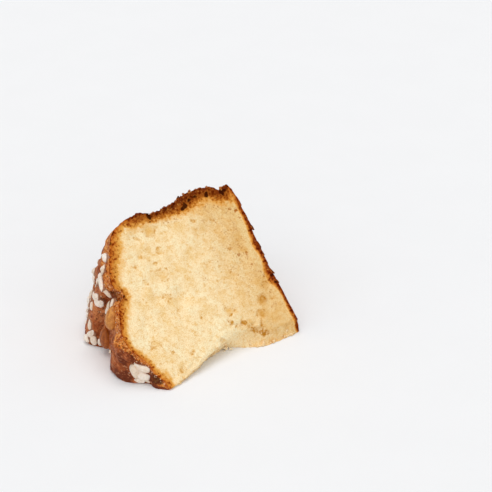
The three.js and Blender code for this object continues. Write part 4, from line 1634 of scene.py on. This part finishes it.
        # Painted light: the crumb beside the tear, away from its golden part, is made paler and less shaded
        # where its face turns from the light.
        painted_light_by_tear = beside_tear - golden
        values = {
            "rind": share,
            "toast": toast,
            "hollow": hollow,
            "pory": self.pores(on, p, warp, share, band),
            "pit": pit,
            "pale": band + 0.7 * painted_light_by_tear,
            "burnt": 0.75 * self.patches(warp, self.burnt_spots) * on.upper_edge,
        }
        fold = (1 - np.abs(self.folds.at(p))) ** 4
        crease = (1 - np.abs(self.creases.at(p))) ** 9 * smoothstep(v, 0.2, 0.4)
        flaky = on.upper_edge * self.flakes.at(p)
        glaze = self.glaze_grain.at(p) + 0.5 * fold - 0.3 + 0.8 * flaky - 0.7 * crease
        glaze = weight[Face.DOME] * (glaze + self.welling(flat, nibs, almonds))
        side, base = self.crust_heights(on, p, hollow, flaky)
        height = self.crumb_height(on, p, share, hollow, pit) + glaze + side + base
        p = p + point_normals(p, quads) * (height * smoothstep(t, 0, 0.05))[:, None]
        p[:, 2] = np.where(t == 0, 0, np.maximum(p[:, 2], 0.5 * flat[:, 2]))
        frayed = self.foot_fray.at(flat) * bell(v * self.cut_size[1], 0, 1.5)
        p[:, 1] -= frayed * bell(flat[:, 2], 0, 3) * smoothstep(u, 0.03, 0.1)
        # Painted shade: darker towards the base and the top, less where painted light lies beside the tear,
        # and at least half in the golden part by the tear.
        shade = 0.8 * smoothstep(p[:, 0], 50, 100) + 0.1 * smoothstep(on.radius, 70, 105)
        values["shade"] = np.maximum(0.5 * golden, shade * (1 - 0.85 * painted_light_by_tear))
        values.update(self.glaze_values(on, fold, crease))
        body = new_mesh("bread", FORM.to_frame(p), quads, None, slots, values)
        for material in self.finishes():
            body.data.materials.append(material)
        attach(body, "root")
        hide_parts("slice")
        return body


@dataclass
class LoosePieces:
    """What small things share: they rest on the bread's own skin, and ride and finish with the bread.

    The skin is looked for from look_from mm above a seat, look_for mm downwards.
    """

    name: str
    rows: int = 4
    columns: int = 6
    look_from: float = 4.0
    look_for: float = 9.0

    def on_skin(self, tree: BVHTree, seat: Array) -> Array:
        """A seat moved along its normal onto the skin, which is looked for from a little above.

        Args:
            tree: the skin's faces, in metres in the shared frame.
            seat: a matrix from FORM.seat().

        Returns:
            The seat, unchanged where no skin is found.
        """
        start, way = FORM.to_frame(seat[:3, 3] + self.look_from * seat[:3, 2]), seat[:3, 2]
        hit = tree.ray_cast(Vector(start), Vector(-way), self.look_for * MM)[0]
        moved = seat.copy()
        if hit is not None:
            moved[:3, 3] = np.array(hit) / MM + np.array(FORM.foot_centre)
        return moved

    def finished(self, shapes: list, values: dict, material: bpy.types.Material) -> Object:
        """One object of all the shapes.

        Args:
            shapes: the points of each shape in mm.
            values: the attributes.
            material: its material.

        Returns:
            The object.
        """
        _, quads, tris = globe(self.rows, self.columns)
        piece = joined(self.name, shapes, quads, tris, values)
        piece.data.materials.append(material)
        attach(piece, "root")
        return piece


@dataclass
class SugarNibs(LoosePieces):
    """Pearl sugar nibs pressed into the glaze: those listed, then more strewn where there is room.

    A listed nib is (v, t, length, width, turn). Those strewn are (how many, v from, v to, least length, most
    length, gap to the others). Above one level, and out to one v, the glaze stays bare of them.
    """

    name: str = "sugar_nibs"
    rows: int = 19
    columns: int = 26
    listed: tuple = (
        (0.73, 0.915, 9.6, 6.2, 40), (0.675, 0.895, 7.2, 5.2, 80), (0.642, 0.82, 13, 4.8, 8),
        (0.594, 0.81, 9.4, 4.6, -15), (0.634, 0.56, 6.6, 5.6, 70), (0.61, 0.545, 6.2, 5.4, 20),
        (0.648, 0.4, 6.4, 4.2, 10), (0.715, 0.56, 4.6, 3.8, 20), (0.531, 0.72, 5.5, 3.6, -60),
        (0.514, 0.84, 6.4, 3.8, -50), (0.548, 0.57, 4.9, 3.4, -65), (0.612, 0.23, 6, 4.6, -60),
        (0.592, 0.14, 5.4, 4.2, 40), (0.606, 0.03, 5.0, 4.5, 30), (0.572, 0.062, 5.3, 4.0, -70),
        (0.543, 0.055, 4.8, 3.8, -85), (0.39, 0.2, 4.2, 3.4, 35), (0.164, 0.72, 9.0, 5.4, 2),
        (0.154, 0.42, 10.6, 5.6, 0), (0.176, 0.5, 8.0, 5.6, -65), (0.142, 0.2, 7.4, 4.6, 4),
        (0.124, 0.17, 5.8, 3.8, 10),
    )
    more: tuple = ((10, 0.78, 0.975, 4.4, 7, 0.4), (14, 0.66, 0.97, 2.4, 4, 0.5))
    seed: int = 4307
    tries: int = 900
    bare_above: float = 0.6
    bare_within: float = 1.0
    beside_almond: float = 0.6
    tall: float = 0.9
    fullness: float = 0.64
    sink: float = 0.48
    clear: float = 0.4

    def strewn(self, almonds: tuple) -> list:
        """Every nib as (v, t, length, width, turn): the listed ones, then each draw that has room.

        Args:
            almonds: the almonds, which the nibs keep clear of.

        Returns:
            The nibs, in the order in which they were placed.
        """
        nibs = list(self.listed)
        taken = [(FORM.point(0.0, v, t), length / 2) for v, t, length, _, _ in nibs]
        for nut in almonds:
            taken.append((FORM.point(0.0, nut.v, nut.t), (nut.length + nut.width) / 4 + self.beside_almond))
        following = series(self.seed)
        for count, low, high, least, most, gap in self.more:
            placed = tries = 0
            while placed < count and tries < self.tries:
                v, t = low + (high - low) * following(), 0.06 + 0.86 * following()
                length = most - (most - least) * (placed / count) * (0.7 + 0.3 * following())
                width, turn = length * (0.62 + 0.25 * following()), 180 * following() - 90
                p = FORM.point(0.0, v, t)
                bare = t > self.bare_above and v < self.bare_within
                if not bare and all(np.linalg.norm(p - q) > reach + length / 2 + gap for q, reach in taken):
                    nibs.append((v, t, length, width, turn))
                    taken.append((p, length / 2))
                    placed += 1
                tries += 1
        return nibs

    def build(self, nibs: list) -> Object:
        """Each nib is an angular grain drawn out to its length, width and height.

        Args:
            nibs: what strewn() gave.

        Returns:
            The object with all the nibs.
        """
        ball, _, _ = globe(self.rows, self.columns)
        shapes, foot = [], []
        for number, (v, t, length, width, turn) in enumerate(nibs):
            height = width * self.tall
            stone = chunk(ball, number + 11, 9, 22.0) * np.array([length, width, height]) * self.fullness
            lift = height * (0.5 - self.sink)
            shapes.append(FORM.placed(stone, FORM.seat(0.0, v, t), turn, lift, self.clear))
            foot.append(1 - smoothstep(stone[:, 2] + lift, 0.2, 1.5))
        own = (np.arange(len(nibs)) * 0.618) % 1
        return self.finished(shapes, {"own": own, "foot": np.concatenate(foot)}, SugarFinish().make())


@dataclass
class SugarGrains(LoosePieces):
    """Grains that broke off the nibs and stuck to the glaze, warmer in colour than the nibs.

    A zone is (v from, v to, t from, t to, how many).
    """

    name: str = "sugar_grains"
    rows: int = 3
    columns: int = 6
    zones: tuple = (
        (0.52, 0.66, 0.8, 0.98, 24), (0.36, 0.5, 0.84, 0.98, 8), (0.52, 0.7, 0.05, 0.75, 24),
        (0.03, 0.22, 0.7, 0.98, 24), (0.08, 0.2, 0.1, 0.6, 8), (0.66, 0.98, 0.03, 0.97, 30),
    )
    seed: int = 911
    proportions: tuple = (0.62, 0.5, 0.42)

    def build(self, tree: BVHTree) -> Object:
        """Each grain is a small angular one, set at random in its zone of the dome.

        Args:
            tree: the bread's skin.

        Returns:
            The object with all the grains.
        """
        ball, _, _ = globe(self.rows, self.columns)
        shapes, own, following = [], [], series(self.seed)
        for v_low, v_high, t_low, t_high, count in self.zones:
            for _ in range(count):
                v, t = v_low + (v_high - v_low) * following(), t_low + (t_high - t_low) * following()
                size = 0.5 + 0.6 * following() ** 2
                seat = self.on_skin(tree, FORM.seat(0.0, v, t))
                stone = chunk(ball, len(shapes) + 301, 6) * size * np.array(self.proportions)
                shapes.append(FORM.placed(stone, seat, 360 * following(), 0.04 * size, 0.1))
                own.append(following())
        finish = SugarFinish(name="broken_pearl_sugar", light="#f6e2cc", shade="#dba878", soft=0.3, bump=0.1)
        return self.finished(shapes, {"own": own, "foot": np.zeros(len(shapes))}, finish.make())


@dataclass
class CrustFlakes(LoosePieces):
    """Thin bent scales of crust that stand up along the cut edges, where the knife and the paper lifted them.

    Those listed are (x along the side or distance from the loaf's axis on the base, length, turn, tilt).
    """

    name: str = "crust_flakes"
    rows: int = 6
    columns: int = 10
    along_side: tuple = (
        (41.3, 3.2, 20, 26), (57.0, 2.4, 60, 16), (69.3, 2.8, 40, 24), (72.5, 3.2, 70, 34),
        (76.6, 4.0, 50, 38), (80.4, 2.4, 20, 30), (89.2, 3.4, 60, 40), (95.4, 2.6, 60, 20),
        (101.9, 2.8, 70, 20),
    )
    along_base: tuple = (
        (86.5, 3.4, 92, 12), (80.5, 6.0, 94, 16), (68.0, 6.5, 88, 8), (62.7, 6.0, 86, 6),
        (48.6, 5.0, 90, 8), (41.0, 3.6, 95, 10),
    )
    beside_cut: float = 0.985
    strewn: int = 40
    seed: int = 77
    slimness: float = 0.62
    thickness: float = 0.42
    sink: float = 0.25

    def flake(self, ball: Array, length: float, tilt: float, seed: int) -> Array:
        """A lens drawn out along X, bent upwards as the square of its length, and tilted about its near end.

        Args:
            ball: directions, each one long.
            length: in mm.
            tilt: in degrees.
            seed: picks another outline.

        Returns:
            The points in mm.
        """
        lens = chunk(ball, seed, 7, 8.0) * np.array([length, length * self.slimness, self.thickness]) / 2
        lens[:, 2] += 0.35 * (lens[:, 0] / length) ** 2 * length
        a = np.radians(tilt)
        x, z = lens[:, 0] + length * 0.4, lens[:, 2]
        return np.stack([x * np.cos(a) - z * np.sin(a), lens[:, 1], x * np.sin(a) + z * np.cos(a)], axis=1)

    def build(self, tree: BVHTree) -> Object:
        """The flakes that are listed along the upper cut's edges, then smaller ones strewn on side and base.

        Args:
            tree: the bread's skin.

        Returns:
            The object with all the flakes.
        """
        ball, _, _ = globe(self.rows, self.columns)
        places = []
        shoulder, torn = FORM.shoulder_drop[1], FORM.torn_at_base[1]
        for x, length, turn, tilt in self.along_side:
            u = (x - shoulder) / (FORM.loaf_height - shoulder)
            places.append(((u, 1.0, self.beside_cut), Face.SIDE, length, turn, tilt))
        for radius, length, turn, tilt in self.along_base:
            v = (radius - torn) / (FORM.loaf_radius - torn)
            places.append(((1.0, v, self.beside_cut), Face.BASE, length, turn, tilt))
        following = series(self.seed)
        for number in range(self.strewn):
            a, t = 0.04 + 0.92 * following(), 0.1 + 0.88 * following()
            spot, face = ((a, 1.0, t), Face.SIDE) if number % 3 else ((1.0, a, t), Face.BASE)
            places.append((spot, face, 1.4 + 1.6 * following(), 360 * following(), 6 + 14 * following()))
        shapes = []
        for number, (spot, face, length, turn, tilt) in enumerate(places):
            seat = self.on_skin(tree, FORM.seat(*spot, face))
            scale = self.flake(ball, length, tilt, number + 51)
            shapes.append(FORM.placed(scale, seat, turn, -self.sink, 0.1))
        tones = {"dark": "#5a260e", "middle": "#8f4a1e", "pale": "#bd7a3c"}
        finish = CrustFinish(name="lifted_crust_flake", patch_mm=3.0, **tones)
        return self.finished(shapes, {}, finish.make())


@dataclass
class CrumbBits(LoosePieces):
    """Crumbs: tufts that hang on where the slice tore, and a few that fell on the table."""

    name: str = "loose_crumbs"
    rows: int = 14
    columns: int = 20
    tufts: int = 90
    fallen: tuple = ((55.1, 1.2, 3.6), (57.4, 2.6, 2.0), (53.4, 3.0, 1.2))
    torn_length: float = 104.0
    seed: int = 5
    porous: Roughness = Roughness(0.3, 0.9, 3, 3)
    proportions: tuple = (0.62, 0.5, 0.42)

    def shape(self, ball: Array, size: float, seed: int) -> Array:
        """A crumb about as long as its size in mm: a soft grain with pores, where noise draws the surface in.

        Args:
            ball: directions, each one long.
            size: in mm.
            seed: picks another crumb.

        Returns:
            The points in mm.
        """
        grain = chunk(ball, seed, 8, 6.0)
        drawn = 1 + self.porous.at(ball + seed)
        return grain * drawn[:, None] * size * np.array(self.proportions)

    def build(self, tree: BVHTree) -> Object:
        """Tufts thickest along the foot of the tear, then the fallen crumbs.

        A fallen crumb is (x, mm out from the torn edge, size).

        Args:
            tree: the bread's skin.

        Returns:
            The object with all the crumbs.
        """
        ball, _, _ = globe(self.rows, self.columns)
        shapes, following = [], series(self.seed)
        for _ in range(self.tufts):
            u, t = 0.06 + 0.9 * following(), 0.015 + 0.9 * following() ** 2.6
            size = 0.9 + 1.5 * following() ** 2
            seat = self.on_skin(tree, FORM.seat(u, 0.0, t, Face.TORN))
            tuft = self.shape(ball, size, len(shapes) + 701)
            shapes.append(FORM.placed(tuft, seat, 360 * following(), 0, 0.05))
        for x, out, size in self.fallen:
            edge = FORM.torn_edge(np.array(x / self.torn_length), np.array(0.0))[1]
            seat = np.eye(4)
            seat[:3, 3] = (x, edge - out, 0.3 * size)
            crumb = self.shape(ball, size, len(shapes) + 701)
            shapes.append(FORM.placed(crumb, seat, 40 * x, 0, 0.02))
        many = len(shapes)
        fell = np.arange(many) >= self.tufts
        # Tufts take half the crumb's painted shade; the fallen crumbs are made paler.
        values = {"rind": np.full(many, 4.0), "shade": 0.5 * ~fell, "pale": 1.0 * fell}
        tones = {"light": "#fff6e0", "middle": "#ffefd0", "warm": "#fbe4bc"}
        finish = CrumbFinish(name="loose_butter_crumb", bump=0.1, **tones)
        return self.finished(shapes, values, finish.make())


@dataclass(frozen=True)
class Almond:
    """One whole almond in its skin, blunt at one end and pointed at the other, set in the glaze.

    Its place is (v, t) on the dome, its sizes and its lift out of the glaze are in mm, its turn in degrees.
    """

    node: str
    v: float
    t: float
    length: float
    width: float
    thickness: float
    turn: float
    lift: float
    dark: str = "#6d3618"
    light: str = "#b06e3c"
    coated: bool = False
    rows: int = 70
    columns: int = 96
    plumpness: float = 2.32
    ridges: Roughness = Roughness(0.5, 1.5, 3, 0)

    def finish(self) -> Finish:
        """Its own skin, or the glaze where that covers it.

        Returns:
            The finish.
        """
        if self.coated:
            return GlazeFinish(name=f"{self.node}_under_glaze")
        return AlmondFinish(name=f"{self.node}_roasted_skin", dark=self.dark, light=self.light)

    def build(self) -> Object:
        """A ball drawn out along X, ridged: at s from its blunt end its girth goes as sqrt(s) (1 - s)^0.75.

        Returns:
            The object, in place of its solid.
        """
        ball, quads, tris = globe(self.rows, self.columns)
        s = (1 + ball[:, 0]) / 2
        ring = np.sqrt(np.maximum(1e-12, 1 - ball[:, 0] ** 2))
        girth = self.plumpness * np.sqrt(s) * np.maximum(0, 1 - s) ** 0.75 / ring
        around = np.arctan2(ball[:, 2], ball[:, 1])
        lines = np.stack([np.cos(around) * 9, np.sin(around) * 9, s * 2.2], axis=1)
        ridge = 0.5 + replace(self.ridges, seed=int(self.v * 1000)).at(lines)
        girth = girth * (1 + 0.035 * (ridge - 0.5))
        half = np.array([self.length, self.width, self.thickness]) / 2
        nut = np.stack([ball[:, 0], ball[:, 1] * girth, ball[:, 2] * girth], axis=1) * half
        places = FORM.placed(nut, FORM.seat(0.0, self.v, self.t), self.turn, self.lift, 0.4)
        values = {"ridge": ridge, "glazed": 0.62 + 0 * ridge, "thick": 0.7 + 0 * ridge}
        piece = new_mesh(f"{self.node}_skin", FORM.to_frame(places), quads, tris, None, values)
        piece.data.materials.append(self.finish().make())
        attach(piece, "root")
        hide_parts(self.node)
        return piece


ALMONDS = (
    Almond("almond_upper", 0.45, 0.8, 14.5, 10, 8, -35, 1.6, "#a3591f", "#d99548"),
    Almond("almond_lower", 0.488, 0.25, 15.5, 10, 7, -82, 1.2, "#7e3a0c", "#b4621e"),
    Almond("almond_fold", 0.268, 0.78, 16, 5.5, 6.5, 8, -1.6, coated=True),
    Almond("almond_shoulder_low", 0.94, 0.2, 17.5, 10.5, 7, 85, -0.4),
    Almond("almond_shoulder_high", 0.945, 0.55, 17, 10.5, 6.5, 97, -0.6),
)


# The studio


@dataclass
class Studio:
    """Pale paper floor, soft even light and a long-lens camera."""

    azimuth: float = -37.5
    elevation: float = 28.5
    distance: float = 1.2
    lens: float = 148.07
    tip_in_view: tuple = (-0.03756, -0.07215)
    sky: float = 0.53
    sky_tint: tuple = (0.86, 0.95, 1.0)
    lamp_tint: tuple = (1.0, 0.93, 0.89)
    sensor: float = 36.0
    sight: tuple = (0.05, 20.0)
    floor_reach: float = 4.0
    floor_lines: int = 9
    lamps: tuple = (
        ("overhead", (0.1, 0.25, 1.0), 1.3, 0.8),
        ("front_fill", (-0.5, -1.0, 0.8), 0.75, 1.4),
        ("left_fill", (-1.0, -0.3, 0.5), 0.4, 1.4),
    )

    def floor(self) -> Object:
        """A level sheet of paper, far larger than the slice.

        Returns:
            The sheet, which isn't part of the slice.
        """
        line = np.linspace(-self.floor_reach, self.floor_reach, self.floor_lines)
        a, b = np.meshgrid(line, line, indexing="ij")
        points = np.stack([a, b, 0 * a], -1).reshape(-1, 3)
        n = np.arange(self.floor_lines**2).reshape(self.floor_lines, self.floor_lines)
        quads = np.stack([n[:-1, :-1], n[1:, :-1], n[1:, 1:], n[:-1, 1:]], -1).reshape(-1, 4)
        piece = new_mesh("floor", points, quads)
        piece.data.materials.append(PaperFinish().make())
        return piece

    def light(self) -> None:
        """An even cool sky, a wide warm sun from above and behind, and weaker ones in front and left.

        Together they light the paper white, and what lies in shadow looks a little cooler.

        A lamp is (name, where it shines from, strength, width in radians).
        """
        world = bpy.data.worlds.new("studio_sky")
        world.use_nodes = True
        world.node_tree.nodes["Background"].inputs["Color"].default_value = (*self.sky_tint, 1.0)
        world.node_tree.nodes["Background"].inputs["Strength"].default_value = self.sky
        bpy.context.scene.world = world
        for name, source, strength, width in self.lamps:
            data = bpy.data.lights.new(name, "SUN")
            data.energy, data.angle, data.color = strength, width, self.lamp_tint
            lamp = bpy.data.objects.new(name, data)
            lamp.rotation_euler = Vector(source).to_track_quat("Z", "Y").to_euler()
            bpy.context.scene.collection.objects.link(lamp)

    def camera(self) -> None:
        """The camera looks past the slice: the torn tip is at tip_in_view, as shares of the distance."""
        a, e = np.radians([self.azimuth, self.elevation])
        back = np.array([np.sin(a) * np.cos(e), -np.cos(a) * np.cos(e), np.sin(e)])
        right = np.array([np.cos(a), np.sin(a), 0.0])
        up = np.cross(back, right)
        tip = FORM.to_frame(np.zeros(3))
        x, y = self.tip_in_view
        place = tip - self.distance * (-back + x * right + y * up)
        data = bpy.data.cameras.new("camera")
        data.lens, data.sensor_width = self.lens, self.sensor
        data.clip_start, data.clip_end = self.sight
        eye = bpy.data.objects.new("camera", data)
        rows = [[*row, p] for row, p in zip(np.stack([right, up, back], axis=1), place)]
        eye.matrix_world = Matrix([*rows, [0, 0, 0, 1]])
        bpy.context.scene.collection.objects.link(eye)
        bpy.context.scene.camera = eye

    def build(self) -> None:
        """Floor, light, camera, and colours shown as they are."""
        self.floor()
        self.light()
        self.camera()
        bpy.context.scene.view_settings.view_transform = "Standard"


def main() -> None:
    """Builds the slice piece by piece, then the studio, and logs how many triangles each piece has."""
    logging.basicConfig(level=logging.INFO, format="%(name)s: %(message)s")
    nib_set = SugarNibs()
    nibs = nib_set.strewn(ALMONDS)
    body = BreadBody().build(nibs, ALMONDS)
    tree = BVHTree.FromPolygons([v.co for v in body.data.vertices], [f.vertices for f in body.data.polygons])
    pieces = [body, nib_set.build(nibs)]
    pieces += [kind().build(tree) for kind in (SugarGrains, CrustFlakes, CrumbBits)]
    pieces += [nut.build() for nut in ALMONDS]
    for piece in pieces:
        piece.data.calc_loop_triangles()
        log.info("%s has %d triangles", piece.name, len(piece.data.loop_triangles))
    Studio().build()


if __name__ == "__main__":
    main()
